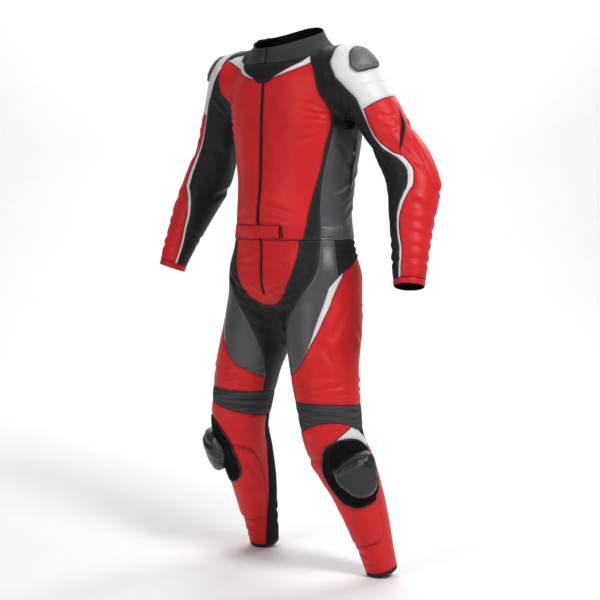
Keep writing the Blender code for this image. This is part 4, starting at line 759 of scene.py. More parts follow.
# ---------------------------------------------------------------- cutting
def cut(net, field, rename, snap=SNAP):
    """Cuts the faces named in rename along the field's zero line: each label becomes (below, above)."""
    region = [i for i, label in enumerate(net.labels) if label in rename]
    used = sorted({v for i in region for v in net.faces[i]})
    if not used:
        return
    points = np.array(net.points)
    value = np.full(len(points), np.nan)
    value[used] = field(points[used])
    near = [v for v in used if abs(value[v]) < snap]
    free = [v for v in near if v not in net.fixed]
    if free:
        points[free] = onto(points[free], field)
    value[[v for v in near if v not in net.fixed or abs(value[v]) < 0.5 * snap]] = 0.0
    crossed = {}
    for i in region:
        face = net.faces[i]
        for a, b in zip(face, face[1:] + face[:1]):
            if value[a] * value[b] < 0:
                crossed[frozenset((a, b))] = (a, b)
    if crossed:
        ends = np.array(list(crossed.values()))
        share = value[ends[:, 0]] / (value[ends[:, 0]] - value[ends[:, 1]])
        new = points[ends[:, 0]] * (1 - share)[:, None] + points[ends[:, 1]] * share[:, None]
        new = onto(settle(new, 1), field)
        start = len(points)
        points = np.vstack([points, new])
        value = np.concatenate([value, np.zeros(len(new))])
        for k, key in enumerate(crossed):
            crossed[key] = start + k
    net.points = points
    for i, face in enumerate(net.faces):
        grown = []
        for a, b in zip(face, face[1:] + face[:1]):
            grown.append(a)
            if frozenset((a, b)) in crossed:
                grown.append(crossed[frozenset((a, b))])
        net.faces[i] = grown
    for i in region:
        split_face(net, i, value, field, rename[net.labels[i]])
    net.fixed |= {v for v in used if value[v] == 0.0} | set(crossed.values())


def split_face(net, i, value, field, names):
    """One face split where its values change sign."""
    face = net.faces[i]
    signs = np.sign(value[face])
    if not (signs > 0).any() or not (signs < 0).any():
        total = signs.sum()
        if total == 0:
            total = field(net.points[face].mean(0)[None])[0]
        net.labels[i] = names[int(total > 0)]
        return
    n = len(face)
    starts = [k for k in range(n) if signs[k] > 0 and signs[k - 1] <= 0]
    ends = [k for k in range(n) if signs[k] > 0 and signs[(k + 1) % n] <= 0]
    if len(starts) != 1:
        net.labels[i] = names[int(value[face].sum() > 0)]
        return
    first, last = (starts[0] - 1) % n, (ends[0] + 1) % n
    above = [face[(first + k) % n] for k in range((last - first) % n + 1)]
    below = [face[(last + k) % n] for k in range((first - last) % n + 1)]
    net.faces[i], net.labels[i] = above, names[1]
    net.faces.append(below)
    net.labels.append(names[0])


def line_field(chart, side, table):
    """Metres round from a seam given as degrees at each place along."""
    rows = np.array(table, float)
    column = 1 if side == "left" else 2

    def field(p):
        along, turn, far = chart.read(p)
        return np.radians(wrapped(turn - np.interp(along, rows[:, 0], rows[:, column]))) * far

    return field


def band_field(chart, side, table):
    """Metres beyond a seam given as places along at each turn."""
    rows = np.array(table, float)
    column = 1 if side == "left" else 2

    def field(p):
        along, turn, _ = chart.read(p)
        return along - np.interp(turn, rows[:, 0], rows[:, column])

    return field


def oval_field(chart, side, oval):
    """Positive inside a rounded outline."""
    middle, centre = (oval.left, oval.along) if side == "left" else (oval.right, oval.along - oval.step)

    def field(p):
        along, turn, _ = chart.read(p)
        v = (along - centre) / oval.tall
        u = np.abs(wrapped(turn - middle) / (oval.wide * (1 + oval.taper * np.clip(v, -1.2, 1.2))))
        return oval.tall * (1 - (u**oval.square + np.abs(v) ** oval.square) ** (1 / oval.square))

    return field


def turn_field(table, lean=((-1.0, 0.0),)):
    """Metres round the body beyond a seam given as degrees at each height, on both sides."""
    rows, lean = np.array(sorted(table), float), np.array(lean, float)

    def field(p):
        u, v = p[:, 0], p[:, 1] - body_section(p[:, 2])[0]
        turn = np.abs(np.degrees(np.arctan2(u, -v)) + np.interp(p[:, 2], lean[:, 0], lean[:, 1]))
        return np.radians(turn - np.interp(p[:, 2], rows[:, 0], rows[:, 1])) * np.hypot(u, v)

    return field


def fly_field(p):
    """Positive inside the shield-shaped fly panel, on the front only."""
    u = np.abs(p[:, 0]) / FLY_HALF
    v = np.maximum(WAIST + 0.006 - p[:, 2], 0) / FLY_DEPTH
    inside = FLY_HALF * (1 - (u**FLY_SQUARE + v**FLY_SQUARE) ** (1 / FLY_SQUARE))
    return np.minimum(inside, -p[:, 1])


def ribs_field(p):
    """Metres above the ribbed panel's lower edge."""
    rows = np.array(RIBS_EDGE, float).T
    return p[:, 2] - np.interp(np.abs(turn_round(p)), rows[1], rows[0])


def edge_field(column):
    """Metres above the yoke's edge or the flash's edge."""
    rows = np.array(YOKE, float)
    k = Edge._fields.index(column)
    return lambda p: p[:, 2] - np.interp(np.abs(p[:, 0]), rows[:, 0], rows[:, k])


def level(z):
    return lambda p: p[:, 2] - z


def mark(net, name, bases, fields, snap=SNAP_CLOSE):
    """Marks the faces of some pieces that lie under a piece sewn on them."""
    labels = {label for label in net.labels if set(label.split("|")) & set(bases)}
    cut(net, fields[0], {label: (label, label + "|" + name) for label in labels}, snap)
    for field in fields[1:]:
        cut(net, field, {label + "|" + name: (label, label + "|" + name) for label in labels}, snap)


def lines(net, name, fields, snap=SNAP_CLOSE):
    """Lines over a piece, where its outer side bends."""
    for field in fields:
        labels = {label for label in net.labels if name in label.split("|")}
        cut(net, field, {label: (label, label) for label in labels}, snap)


def select(net, label, new, test):
    """Gives a new label to the faces whose middle passes the test."""
    for i, face in enumerate(net.faces):
        if net.labels[i] == label and test(net.points[face].mean(0)):
            net.labels[i] = new


def cut_jacket(net):
    select(net, "high", "neck", lambda c: np.hypot(c[0], c[1] - NECK_Y) < 0.125)
    cut(net, lambda p: p[:, 2] - neck_base(p[:, 1]), {"neck": ("high", "collar")})
    select(net, "collar", "throat", lambda c: c[1] < NECK_Y - 0.05)
    for x in COLLAR_SLIT:
        cut(net, lambda p: p[:, 0] - x, {"throat": ("throat", "throat")}, snap=0.0004)
    middle = 0.5 * sum(COLLAR_SLIT)
    select(net, "throat", "gap", lambda c: abs(c[0] - middle) < 0.001)
    rename(net, {"throat": "collar"})
    front = turn_field(FRONT_EDGE, FRONT_LEAN)
    back, strip = turn_field(BACK_EDGE), turn_field(STRIP_EDGE)
    for side, sign in SIDES.items():
        for part, outside in (("high", "raglan_"), ("jacket", "side_")):
            select(net, part, outside + side, lambda c: sign * c[0] > 0)
            cut(net, front, {outside + side: ("front", outside + side)})
            cut(net, back, {outside + side: (outside + side, "back")})
    cut(net, edge_field("yoke"), {"front": ("front", "throat_yoke")})
    for side, sign in SIDES.items():
        both = ("front", "front_" + side)
        cut(net, lambda p: sign * p[:, 0] - ZIP_HALF, {"front": both}, snap=0.0065)
        both = ("front_" + side, "flash_" + side)
        cut(net, edge_field("flash"), {"front_" + side: both}, snap=SNAP_CLOSE)
        both = ("side_strip_" + side, "side_" + side)
        cut(net, strip, {"side_" + side: both}, snap=SNAP_CLOSE)
    rename(net, {"front": "front_zip"})
    fronts = ("front_left", "front_right", "front_zip")
    ends = [lambda p: turn_round(p) - BELT_TURN[0], lambda p: BELT_TURN[1] - turn_round(p)]
    ends = [lambda p, end=end: np.radians(end(p)) * 0.13 for end in ends]
    heights = [level(BELT_Z[0]), lambda p: BELT_Z[1] - p[:, 2]]
    mark(net, "belt_tab", fronts, heights + ends)
    heights = [level(TAB_Z[0]), lambda p: TAB_Z[1] - p[:, 2]]
    start, end = (turn_field([Turn(-0.7, turn), Turn(0.0, turn)]) for turn in TAB_TURN)
    for side in SIDES:
        mark(net, "side_tab_" + side, ("side_" + side,), heights + [start, lambda p: -end(p)])


def turn_round(p):
    """Degrees round the body from the front middle, toward its left."""
    return np.degrees(np.arctan2(p[:, 0], body_section(p[:, 2])[0] - p[:, 1]))


def between(chart, side, start, end):
    """Positive, in metres round, between two seams of a limb's chart."""
    column = 1 if side == "left" else 2
    start, end = (np.array(table, float)[:, [0, column]].T for table in (start, end))

    def field(p):
        along, turn, far = chart.read(p)
        a, b = np.interp(along, *start), np.interp(along, *end)
        return np.radians(0.5 * (b - a) - np.abs(wrapped(turn - 0.5 * (a + b)))) * far

    return field


def beyond(chart, side, seams, middle):
    """Positive beyond a seam, with the turn counted from a direction inside the piece."""
    column = 1 if side == "left" else 2
    tables = [np.array(table, float)[:, [0, column]].T for table in seams]
    middle = np.array(middle, float)[:, [0, column]].T

    def field(p):
        along, turn, far = chart.read(p)
        edge = sum(np.interp(along, *table) for table in tables)
        start = np.interp(along, *middle)
        return np.radians(start + wrapped(turn - start) - edge) * far

    return field


def cut_gusset(net, chart, sleeve, gusset):
    """The lens-shaped gusset, cut as two halves from a line down its middle."""
    rows = np.array(GUSSET, float).T

    def field(p, way):
        along, turn, far = chart.read(p)
        off = np.radians(wrapped(turn - np.interp(along, rows[0], rows[1]))) * far
        return off if way == 0 else np.interp(along, rows[0], rows[2]) - way * off

    near = lambda p: rows[0][0] - 0.004 < chart.read(p[None])[0][0] < rows[0][-1] + 0.004
    select(net, sleeve, "low", lambda p: near(p) and abs(field(p[None], 0)[0]) < 0.030)
    cut(net, lambda p: field(p, 0), {"low": ("low", "high")}, snap=0.002)
    cut(net, lambda p: field(p, -1), {"low": (sleeve, gusset)}, snap=SNAP_FINE)
    cut(net, lambda p: field(p, 1), {"high": (sleeve, gusset)}, snap=SNAP_FINE)


def cut_sleeves(net):
    half = np.array(PIPING_HALF, float)[:, :2].T
    for side in SIDES:
        chart = ARM_CHARTS[side]
        inner, outer = "sleeve_inner_" + side, "outer_" + side
        rename(net, {"raglan_" + side: inner, "arm_" + side: inner})
        cuff = chart.along[-1] - CUFF_CUT - CUFF_BAND
        cut(net, lambda p: chart.read(p)[0] - cuff, {inner: (inner, "cuff_" + side)}, snap=SNAP_WIDE)
        cut(net, between(chart, side, SLEEVE_FRONT, SLEEVE_BACK), {inner: (inner, outer)}, snap=SNAP_CLOSE)
        both = ("shoulder_" + side, "sleeve_" + side)
        cut(net, lambda p: chart.read(p)[0] - SHOULDER_END, {outer: both})
        front = beyond(chart, side, [SLEEVE_FRONT], [Line(0, 90, 90), Line(1, 90, 90)])
        both = ("piping_" + side, "sleeve_" + side)
        strip = lambda p: front(p) - 2 * np.interp(chart.read(p)[0], *half)
        cut(net, strip, {"sleeve_" + side: both}, snap=SNAP_FINE)
        places = [lambda p, a=along: chart.read(p)[0] - a for along in CUP_LINES]
        turns = [line_field(chart, side, [Line(0, t, t), Line(1, t, t)]) for t in CUP_TURNS]
        lines(net, "shoulder_" + side, places + turns, snap=0.007)
        cut_gusset(net, chart, "sleeve_" + side, "gusset_" + side)
        cup = oval_field(chart, side, SHOULDER_CUP)
        mark(net, "shoulder_cup_" + side, ("shoulder_" + side,), [cup])
        lines(net, "shoulder_cup_" + side, [lambda p: cup(p) - CUP_TOP[1].inward])


def cut_trousers(net):
    cut(net, lambda p: p[:, 0], {"trousers": ("trousers_right", "trousers_left")})
    halves = ("trousers_left", "trousers_right")
    cut(net, fly_field, {name: (name, "fly_panel") for name in halves})
    cut(net, lambda p: np.abs(p[:, 0]) - 0.003, {"fly_panel": ("fly_zip", "fly_panel")}, snap=0.0)
    cut(net, level(FLY_ZIP_END), {"fly_zip": ("fly_panel", "fly_zip")}, snap=SNAP_WIDE)
    ribs = turn_field([Turn(-0.7, RIBS_TURN), Turn(0.0, RIBS_TURN)])
    for side in SIDES:
        chart = LEG_CHARTS[side]
        whole, top, shin, band = ("%s_%s" % (name, side) for name in ("trousers", "hip", "shin", "knee_band"))
        cut(net, ribs_field, {whole: (whole, top)})
        cut(net, ribs, {top: (whole, "waist_stretch")})
        cut(net, band_field(chart, side, BAND_TOP), {whole: (whole, band)}, snap=SNAP_WIDE)
        cut(net, band_field(chart, side, BAND_LOW), {band: (band, shin)}, snap=SNAP_WIDE)
        hem = chart.along[-1] - HEM_CUT - HEM_BAND
        cut(net, lambda p: chart.read(p)[0] - hem, {shin: (shin, "hem_" + side)}, snap=SNAP_WIDE)
        cut_thigh(net, side, chart, whole)
        cut_shin(net, side, chart, shin)
    steps = int((WAIST - RIBS_EDGE[0].z) / RIB_PITCH * 2)
    lines(net, "waist_stretch", [level(WAIST - 0.5 * RIB_PITCH * k) for k in range(1, steps)], snap=0.002)


def cut_thigh(net, side, chart, whole):
    """Inner leg, grey thigh front, white flash and red thigh."""
    thigh, middle = "thigh_" + side, [Line(0.0, 154, 154), Line(0.42, 66, 66)]
    both = ("inner_leg_" + side, thigh)
    cut(net, between(chart, side, THIGH_INNER, SEAT_EDGE), {whole: both})
    both = ("thigh_front_" + side, thigh)
    cut(net, beyond(chart, side, [THIGH_OUTER], middle), {thigh: both}, snap=SNAP_CLOSE)
    both = ("thigh_flash_" + side, thigh)
    cut(net, beyond(chart, side, [THIGH_OUTER, FLASH_WIDE], middle), {thigh: both}, snap=0.002)


def cut_shin(net, side, chart, shin):
    """Calf stretch, the white flash over the knee, its patch and its slider."""
    cut(net, between(chart, side, CALF_OUTER, CALF_INNER), {shin: (shin, "calf_" + side)})
    flash, middle = "knee_flash_" + side, [Line(0, 10, 10), Line(1, 10, 10)]
    cut(net, lambda p: FLASH_END - chart.read(p)[0], {shin: (shin, flash)})
    cut(net, beyond(chart, side, [KNEE_FLASH], middle), {flash: (shin, flash)}, snap=SNAP_CLOSE)
    under = (shin, flash, "calf_" + side, "knee_band_" + side)
    mark(net, "knee_patch_" + side, under, [oval_field(chart, side, KNEE_PATCH)])
    puck = oval_field(chart, side, KNEE_PUCK)
    mark(net, "knee_puck_" + side, ["knee_patch_" + side], [puck])
    lines(net, "knee_puck_" + side, [lambda p, r=row: puck(p) - r.inward for row in PUCK_TOP[1:3]])


def rename(net, names):
    net.labels = [names.get(label, label) for label in net.labels]


def cut_all(net):
    cut(net, level(WAIST), {"low": ("trousers", "jacket")}, snap=0.010)
    cut_jacket(net)
    cut_sleeves(net)
    cut_trousers(net)


def borders(faces):
    """Directed edges that only one face has."""
    edges = {(a, b) for f in faces for a, b in zip(f, f[1:] + f[:1])}
    return [(a, b) for a, b in edges if (b, a) not in edges]


def inset(points, normal, faces, gap=0.5 * SEAM_GAP):
    """Points with a piece's border moved into the piece by half a seam's gap."""
    moved = points.copy()
    pull = {}
    for a, b in borders(faces):
        for v in (a, b):
            side = np.cross(normal[v], points[b] - points[a])
            pull.setdefault(v, []).append(side / np.linalg.norm(side))
    for v, sides in pull.items():
        total = sum(sides)
        length = max(np.linalg.norm(total), 0.25)
        moved[v] = points[v] + gap * len(sides) * total / length**2 * (2 / len(sides))
    return moved


def flare(points):
    """How far the jacket's hem stands off the form."""
    return HEM_FLARE * np.clip(1 - (points[:, 2] - WAIST) / FLARE_REACH, 0, 1) ** 2


def ribs(points):
    return RIB_RISE * 0.5 * (1 - np.cos(2 * np.pi * (WAIST - points[:, 2]) / RIB_PITCH))


def hard_top(chart, side, oval, table):
    rows = np.array(table, float).T
    field = oval_field(chart, side, oval)
    return lambda points: np.interp(field(points), *rows)


def kind_of(name):
    return name.removesuffix("_left").removesuffix("_right")


# ---------------------------------------------------------------- the fine skin
ROUNDS = 3
# EDGE_WEAR_AND_SHADING: how far from a seam the edge colour reaches, which is wear with painted highlight and
# painted shade
EDGE_SINK, PUFF, PUFF_REACH, EDGE_WEAR_AND_SHADING = 0.0009, 0.0006, 0.0050, 0.0022
SMOOTH_TURN, EDGE_ROLL, CREASE_SHARE = 0.75, 0.0004, 1.35
# slow unevenness of the cloth: how often it turns in a metre, and its height
BROAD, SLOW, FINE = (11.0, 0.0014), (19.0, 0.0009), (34.0, 0.0005)
# the guards' height and how soft their edges are; the groove round them, how much painted shade lies in it,
# and how far that shade reaches
SHIN_RISE, SHIN_SOFT, ELBOW_RISE, ELBOW_SOFT = 0.0042, 0.0048, 0.0022, 0.009
GROOVE, GROOVE_PAINTED_SHADE, GROOVE_REACH = 0.55, 1.6, 0.0028
# angles, in radians, over which an edge is drawn sharp
CLOTH_SHARP, HARD_SHARP = 0.9, 0.30
JACKET = ("front", "front_zip", "back", "side", "side_strip")


def edge_key(a, b):
    return (a, b) if a < b else (b, a)


def seam_edges(faces, labels):
    """Edges between two labels or at an opening, each with its faces."""
    sides = {}
    for i, face in enumerate(faces):
        for a, b in zip(face, face[1:] + face[:1]):
            sides.setdefault(edge_key(a, b), []).append(i)
    return {e: p for e, p in sides.items() if len(p) < 2 or labels[p[0]] != labels[p[1]]}


def carry_on(points, seams):
    """For each seam edge and end, the point that the seam's line runs on to."""
    near = {}
    for a, b in seams:
        near.setdefault(a, []).append(b)
        near.setdefault(b, []).append(a)
    onward = {}
    for edge in seams:
        for start, end in (edge, edge[::-1]):
            way = points[end] - points[start]
            best, chosen = SMOOTH_TURN, None
            for v in near[end]:
                if v != start:
                    step = points[v] - points[end]
                    turn = step @ way / (np.linalg.norm(step) * np.linalg.norm(way))
                    if turn > best:
                        best, chosen = turn, v
            onward[(start, end)] = chosen
    return onward


def refined(points, faces, labels):
    """Each face split into one quad for each corner; seams stay smooth lines."""
    seams = seam_edges(faces, labels)
    onward = carry_on(points, seams)
    middle, ends = {}, []
    for face in faces:
        for a, b in zip(face, face[1:] + face[:1]):
            if edge_key(a, b) not in middle:
                middle[edge_key(a, b)] = len(points) + len(ends)
                ends.append(edge_key(a, b))
    ends = np.array(ends)
    new = 0.5 * (points[ends[:, 0]] + points[ends[:, 1]])
    for a, b in seams:
        before, after = onward[(b, a)], onward[(a, b)]
        if before is not None and after is not None:
            between_ends = 9 * (points[a] + points[b]) - points[before] - points[after]
            new[middle[(a, b)] - len(points)] = between_ends / 16
    centres = np.array([points[face].mean(0) for face in faces])
    start = len(points) + len(new)
    quads, names = [], []
    for i, face in enumerate(faces):
        mids = [middle[edge_key(a, b)] for a, b in zip(face, face[1:] + face[:1])]
        for k, corner in enumerate(face):
            quads.append([corner, mids[k], start + i, mids[k - 1]])
            names.append(labels[i])
    return np.vstack([points, new, centres]), quads, names, middle


def face_normals(points, quads):
    """Normals at the points of quads, from the faces round them."""
    quads = np.array(quads)
    p = points[quads]
    out = np.cross(p[:, 2] - p[:, 0], p[:, 3] - p[:, 1])
    total = np.zeros_like(points)
    for k in range(4):
        np.add.at(total, quads[:, k], out)
    return total / np.maximum(np.linalg.norm(total, axis=1), 1e-12)[:, None]


class Skin:
    """The fine points of the form, their faces, and what is known at each point."""

    def __init__(self):
        net = make_cage()
        cut_all(net)
        points, faces, labels = net.points, net.faces, net.labels
        for _ in range(ROUNDS):
            self.coarse, self.coarse_labels, count = faces, labels, len(points)
            points, faces, labels, self.middle = refined(points, faces, labels)
            out = face_normals(points, faces)
            for _ in range(2):
                points[count:] -= distance(points[count:])[:, None] * out[count:]
        self.points, self.faces, self.labels = points, faces, labels
        self.normal = face_normals(points, faces)
        self.read_charts()
        self.seam_distance()

    def read_charts(self):
        """Place along and degrees round of every point, on the body and on the limb it is nearest."""
        p = self.points
        self.turn = {"body": turn_round(p)}
        self.along = {"body": p[:, 2]}
        self.far = {"body": np.hypot(p[:, 0], p[:, 1])}
        for side, sign in SIDES.items():
            for limb, chart, test in (
                ("arm_", ARM_CHARTS[side], (sign * p[:, 0] > 0.05) & (p[:, 2] > -0.80)),
                ("leg_", LEG_CHARTS[side], (sign * p[:, 0] > -0.02) & (p[:, 2] < -0.42)),
            ):
                name = limb + side
                rows = np.flatnonzero(test)
                along, turn, far = chart.read(p[rows])
                for store, value in ((self.along, along), (self.turn, turn), (self.far, far)):
                    store[name] = np.full(len(p), np.nan)
                    store[name][rows] = value

    def seam_distance(self):
        """Metres to the nearest seam or edge."""
        seams = list(seam_edges(self.faces, self.labels))
        ends = self.points[np.array(seams)]
        spots = np.vstack([ends[:, 0] * (1 - t) + ends[:, 1] * t for t in (0.0, 0.25, 0.5, 0.75)])
        tree = KDTree(len(spots))
        for i, spot in enumerate(spots):
            tree.insert(spot, i)
        tree.balance()
        self.seam = np.array([tree.find(p)[2] for p in self.points])
        self.seam_tree = tree
        self.tree = KDTree(len(self.points))
        for i, spot in enumerate(self.points):
            self.tree.insert(spot, i)
        self.tree.balance()

    def lowest(self, height, rounds=3):
        """The least height near each point."""
        quads = np.array(self.faces)
        low = height.copy()
        for _ in range(rounds):
            least = np.repeat(low[quads].min(1), 4)
            np.minimum.at(low, quads.ravel(), least)
        return low

    def laid(self, spots, over):
        """Points laid on the cloth, and the normals there; over is the cloth's height at each point."""
        found = [self.tree.find_n(spot, 3) for spot in spots]
        index = np.array([[hit[1] for hit in hits] for hits in found])
        near = np.array([[hit[2] for hit in hits] for hits in found])
        weight = 1 / (near + 0.0002)
        weight /= weight.sum(1, keepdims=True)
        out = self.normal[index]
        off = ((spots[:, None] - self.points[index]) * out).sum(2)
        place = spots[:, None] + (over[index] - off)[..., None] * out
        out = (out * weight[..., None]).sum(1)
        return (place * weight[..., None]).sum(1), out / np.linalg.norm(out, axis=1)[:, None]


# ---------------------------------------------------------------- relief
def unevenness(points, scale, shift=0.0):
    return np.array([noise.noise(Vector(p * scale) + Vector((shift, shift, shift))) for p in points])


def crease_height(skin, uneven, crease):
    """A soft trough with one stronger ridge, along a line given in a chart."""
    along, turn = skin.along[crease.chart], skin.turn[crease.chart]
    far = skin.far[crease.chart]
    path = np.array(crease.path, float)
    reach = 4 * crease.wide
    low, high = path[:, 0].min() - reach, path[:, 0].max() + reach
    rows = np.flatnonzero((along > low) & (along < high))
    radius = np.nanmedian(far[rows])
    start = path[:, 1].mean()
    q = np.column_stack([along[rows], np.radians(wrapped(turn[rows] - start)) * far[rows]])
    line = np.column_stack([path[:, 0], np.radians(wrapped(path[:, 1] - start)) * radius])
    t = np.linspace(0, len(line) - 1, 8 * len(line))
    line = np.column_stack([np.interp(t, np.arange(len(line)), line[:, k]) for k in (0, 1)])
    for _ in range(3):
        line[1:-1] = 0.25 * line[:-2] + 0.5 * line[1:-1] + 0.25 * line[2:]
    best, place, side = np.full(len(q), np.inf), np.zeros(len(q)), np.zeros(len(q))
    for k in range(len(line) - 1):
        a, d = line[k], line[k + 1] - line[k]
        share = np.clip((q - a) @ d / (d @ d), 0, 1)
        gap = q - a - share[:, None] * d
        length = np.hypot(*gap.T)
        near = length < best
        best[near] = length[near]
        place[near] = (k + share[near]) / (len(line) - 1)
        side[near] = np.sign(d[0] * gap[near, 1] - d[1] * gap[near, 0])
    w = crease.wide * (1 + 0.35 * uneven[rows])
    fade = np.clip(np.minimum(place, 1 - place) / 0.22, 0, 1)
    fade = fade * fade * (3 - 2 * fade) * (1 + 0.5 * uneven[rows])
    d = best / w
    trough = np.exp(-d * d)
    ridge = np.exp(-((d - 1.9) ** 2)) * np.where(side > 0, 0.55, 0.25)
    height = np.zeros(len(skin.points))
    height[rows] = crease.deep * fade * (ridge - trough)
    return height


def depth_in(skin, chart, oval):
    """Distance in from a rounded outline; not a number off the chart."""
    side = chart.rsplit("_", 1)[1]
    middle, centre = (oval.left, oval.along) if side == "left" else (oval.right, oval.along - oval.step)
    v = (skin.along[chart] - centre) / oval.tall
    u = np.abs(wrapped(skin.turn[chart] - middle)) / (oval.wide * (1 + oval.taper * np.clip(v, -1.2, 1.2)))
    return oval.tall * (1 - (u**oval.square + np.abs(v) ** oval.square) ** (1 / oval.square))


def raised(skin, chart, oval, rise, soft):
    """A plateau inside a rounded outline, with a groove round it."""
    inward = depth_in(skin, chart, oval)
    share = np.clip(0.5 + inward / soft, 0, 1)
    edge = np.exp(-((inward / soft) ** 2))
    return np.nan_to_num(rise * share * share * (3 - 2 * share) - GROOVE * rise * edge)


def relief(skin):
    """Height of the cloth over the form at every point."""
    p = skin.points
    broad, fine = unevenness(p, BROAD[0]), unevenness(p, FINE[0], 7.3)
    away = 1 - np.exp(-skin.seam / PUFF_REACH)
    height = away * PUFF - (1 - away) * EDGE_SINK
    slow = unevenness(p * (1.0, 1.0, 0.55), SLOW[0], 3.1)
    height += away * (BROAD[1] * broad + SLOW[1] * slow + FINE[1] * fine)
    for crease in CREASES:
        for side in crease.sides:
            body = crease.chart == "body"
            sign = SIDES[side] if body else 1
            path = [(along, sign * turn) for along, turn in crease.path]
            name = "body" if body else crease.chart + side
            share = CREASE_SHARE * (0.35 + 0.65 * away)
            height += share * crease_height(skin, fine, crease._replace(chart=name, path=path))
    for side in SIDES:
        height += raised(skin, "leg_" + side, SHIN_GUARD, SHIN_RISE, SHIN_SOFT)
        height += raised(skin, "arm_" + side, ELBOW_GUARD, ELBOW_RISE, ELBOW_SOFT)
    return height


# ---------------------------------------------------------------- pieces
def border_middles(faces, labels_edges, middle):
    """Coarse faces with the middles of their border edges put in."""
    grown = []
    for face in faces:
        row = []
        for a, b in zip(face, face[1:] + face[:1]):
            row.append(a)
            if (a, b) in labels_edges:
                row.append(middle[edge_key(a, b)])
        grown.append(row)
    return grown


def closed_cloth(skin, test, under, over):
    """Closed mesh of the faces whose label passes: fine outside, rolled rim, coarser lining."""
    faces = [f for f, label in zip(skin.faces, skin.labels) if test(label)]
    coarse = [f for f, label in zip(skin.coarse, skin.coarse_labels) if test(label)]
    edge = borders(faces)
    lining = border_middles(coarse, set(borders(coarse)), skin.middle)
    base = inset(skin.points, skin.normal, faces)
    used = sorted({v for f in faces for v in f})
    inner = sorted({v for f in lining for v in f})
    rim = sorted({v for e in edge for v in e})
    top = {v: i for i, v in enumerate(used)}
    low = {v: len(used) + i for i, v in enumerate(inner)}
    mid = {v: len(used) + len(inner) + i for i, v in enumerate(rim)}
    n = skin.normal
    outside = base[used] + over[used][:, None] * n[used]
    inside = base[inner] + under[inner][:, None] * n[inner]
    rolled = base[rim] + (over[rim] - EDGE_ROLL)[:, None] * n[rim]
    pull = inset(skin.points, skin.normal, faces, gap=2 * EDGE_ROLL + SEAM_GAP)[rim] - base[rim]
    outside[[top[v] for v in rim]] += 0.5 * pull
    mesh = [[top[v] for v in f] for f in faces]
    count = len(mesh)
    mesh += [[low[v] for v in reversed(f)] for f in lining]
    for a, b in edge:
        mesh.append([top[b], top[a], mid[a], mid[b]])
        mesh.append([mid[b], mid[a], low[a], low[b]])
    return np.vstack([outside, inside, rolled]), mesh, count, used


def add_mesh(name, points, faces, materials, inside=None, sharp=CLOTH_SHARP):
    mesh = bpy.data.meshes.new(name)
    mesh.from_pydata(np.asarray(points).tolist(), [], faces)
    for made in materials:
        mesh.materials.append(made)
    if inside is not None:
        slots = np.zeros(len(faces), int)
        slots[inside:] = 1
        mesh.polygons.foreach_set("material_index", slots)
    mesh.shade_smooth()
    mesh.set_sharp_from_angle(angle=sharp)
    obj = bpy.data.objects.new(name, mesh)
    bpy.context.scene.collection.objects.link(obj)
    return obj


def outer_height(skin, name, height):
    """The cloth's height over the form for one piece, at every skin point, and its underside's."""
    kind, side = kind_of(name), name.rsplit("_", 1)[-1]
    stand = flare(skin.points) if kind in JACKET or kind.endswith("tab") else 0 * height
    over = height + stand
    if kind == "waist_stretch":
        over = over + ribs(skin.points)
    if kind not in OVERLAYS:
        low = stand + skin.lowest(height)
        return over, low - (COLLAR_WALL if kind == "collar" else WALL)
    under = over + SEAM_GAP + (PATCH_WALL + SEAM_GAP if kind == "knee_puck" else 0)
    if kind == "knee_puck":
        return under + hard_top(LEG_CHARTS[side], side, KNEE_PUCK, PUCK_TOP)(skin.points), under
    if kind == "shoulder_cup":
        return under + hard_top(ARM_CHARTS[side], side, SHOULDER_CUP, CUP_TOP)(skin.points), under
    return under + PATCH_WALL, under


def piece_test(name):
    """Whether a face's label is the piece's own."""
    if kind_of(name) in OVERLAYS:
        return lambda label: name in label.split("|")[1:]
    return lambda label: label.split("|")[0] == name


def build_cloth(skin, height):
    """One piece for each cloth node, standing for it."""
    made = {}
    names = {part for label in skin.labels for part in label.split("|")} - {"gap"}
    for name in sorted(names):
        kind = kind_of(name)
        over, under = outer_height(skin, name, height)
        points, faces, count, used = closed_cloth(skin, piece_test(name), under, over)
        hard = kind in HARD
        looks = [material(LOOK_OF[kind]), material(LOOK_OF[kind] if hard else "lining")]
        sharp = HARD_SHARP if hard else CLOTH_SHARP
        obj = add_mesh("cloth_" + name, points, faces, looks, count, sharp)
        # the edge attribute is near 1 by the seams, where each look paints its edge colour: wear with painted
        # highlight and painted shade
        edge = np.zeros(len(points))
        edge[: len(used)] = np.exp(-skin.seam[used] / EDGE_WEAR_AND_SHADING)
        # on the shin, painted shade darkens the groove round the guard
        if kind == "shin":
            inward = depth_in(skin, "leg_" + name.rsplit("_", 1)[1], SHIN_GUARD)[used]
            edge[: len(used)] += np.nan_to_num(GROOVE_PAINTED_SHADE * np.exp(-((inward / GROOVE_REACH) ** 2)))
        obj.data.attributes.new("edge", "FLOAT", "POINT").data.foreach_set("value", edge)
        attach(obj, "root")
        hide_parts(name)
        SLOT_OF.get(LOOK_OF[kind], LOOK_OF[kind])
        cut_size = FLAT.get(name, FLAT.get(kind))
        if cut_size:
            wide, long, area = cut_size
            held, rests = ("laid", RESTS[kind]) if kind in RESTS else ("draped", ())
            side = name.rsplit("_", 1)[-1]
            rests = [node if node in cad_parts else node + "_" + side for node in rests]
            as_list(rests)
        made[name] = obj
    return made


# ---------------------------------------------------------------- sewing and zips
def border_loops(faces):
    """Closed loops of points round some faces, with the faces on the left."""
    after = {}
    for a, b in borders(faces):
        after.setdefault(a, []).append(b)
    loops = []
    while after:
        start = next(iter(after))
        loop = [start]
        while loop[-1] in after:
            ways = after[loop[-1]]
            onward = ways.pop()
            if not ways:
                del after[loop[-1]]
            if onward == start:
                break
            loop.append(onward)
        loops.append(loop)
    return loops


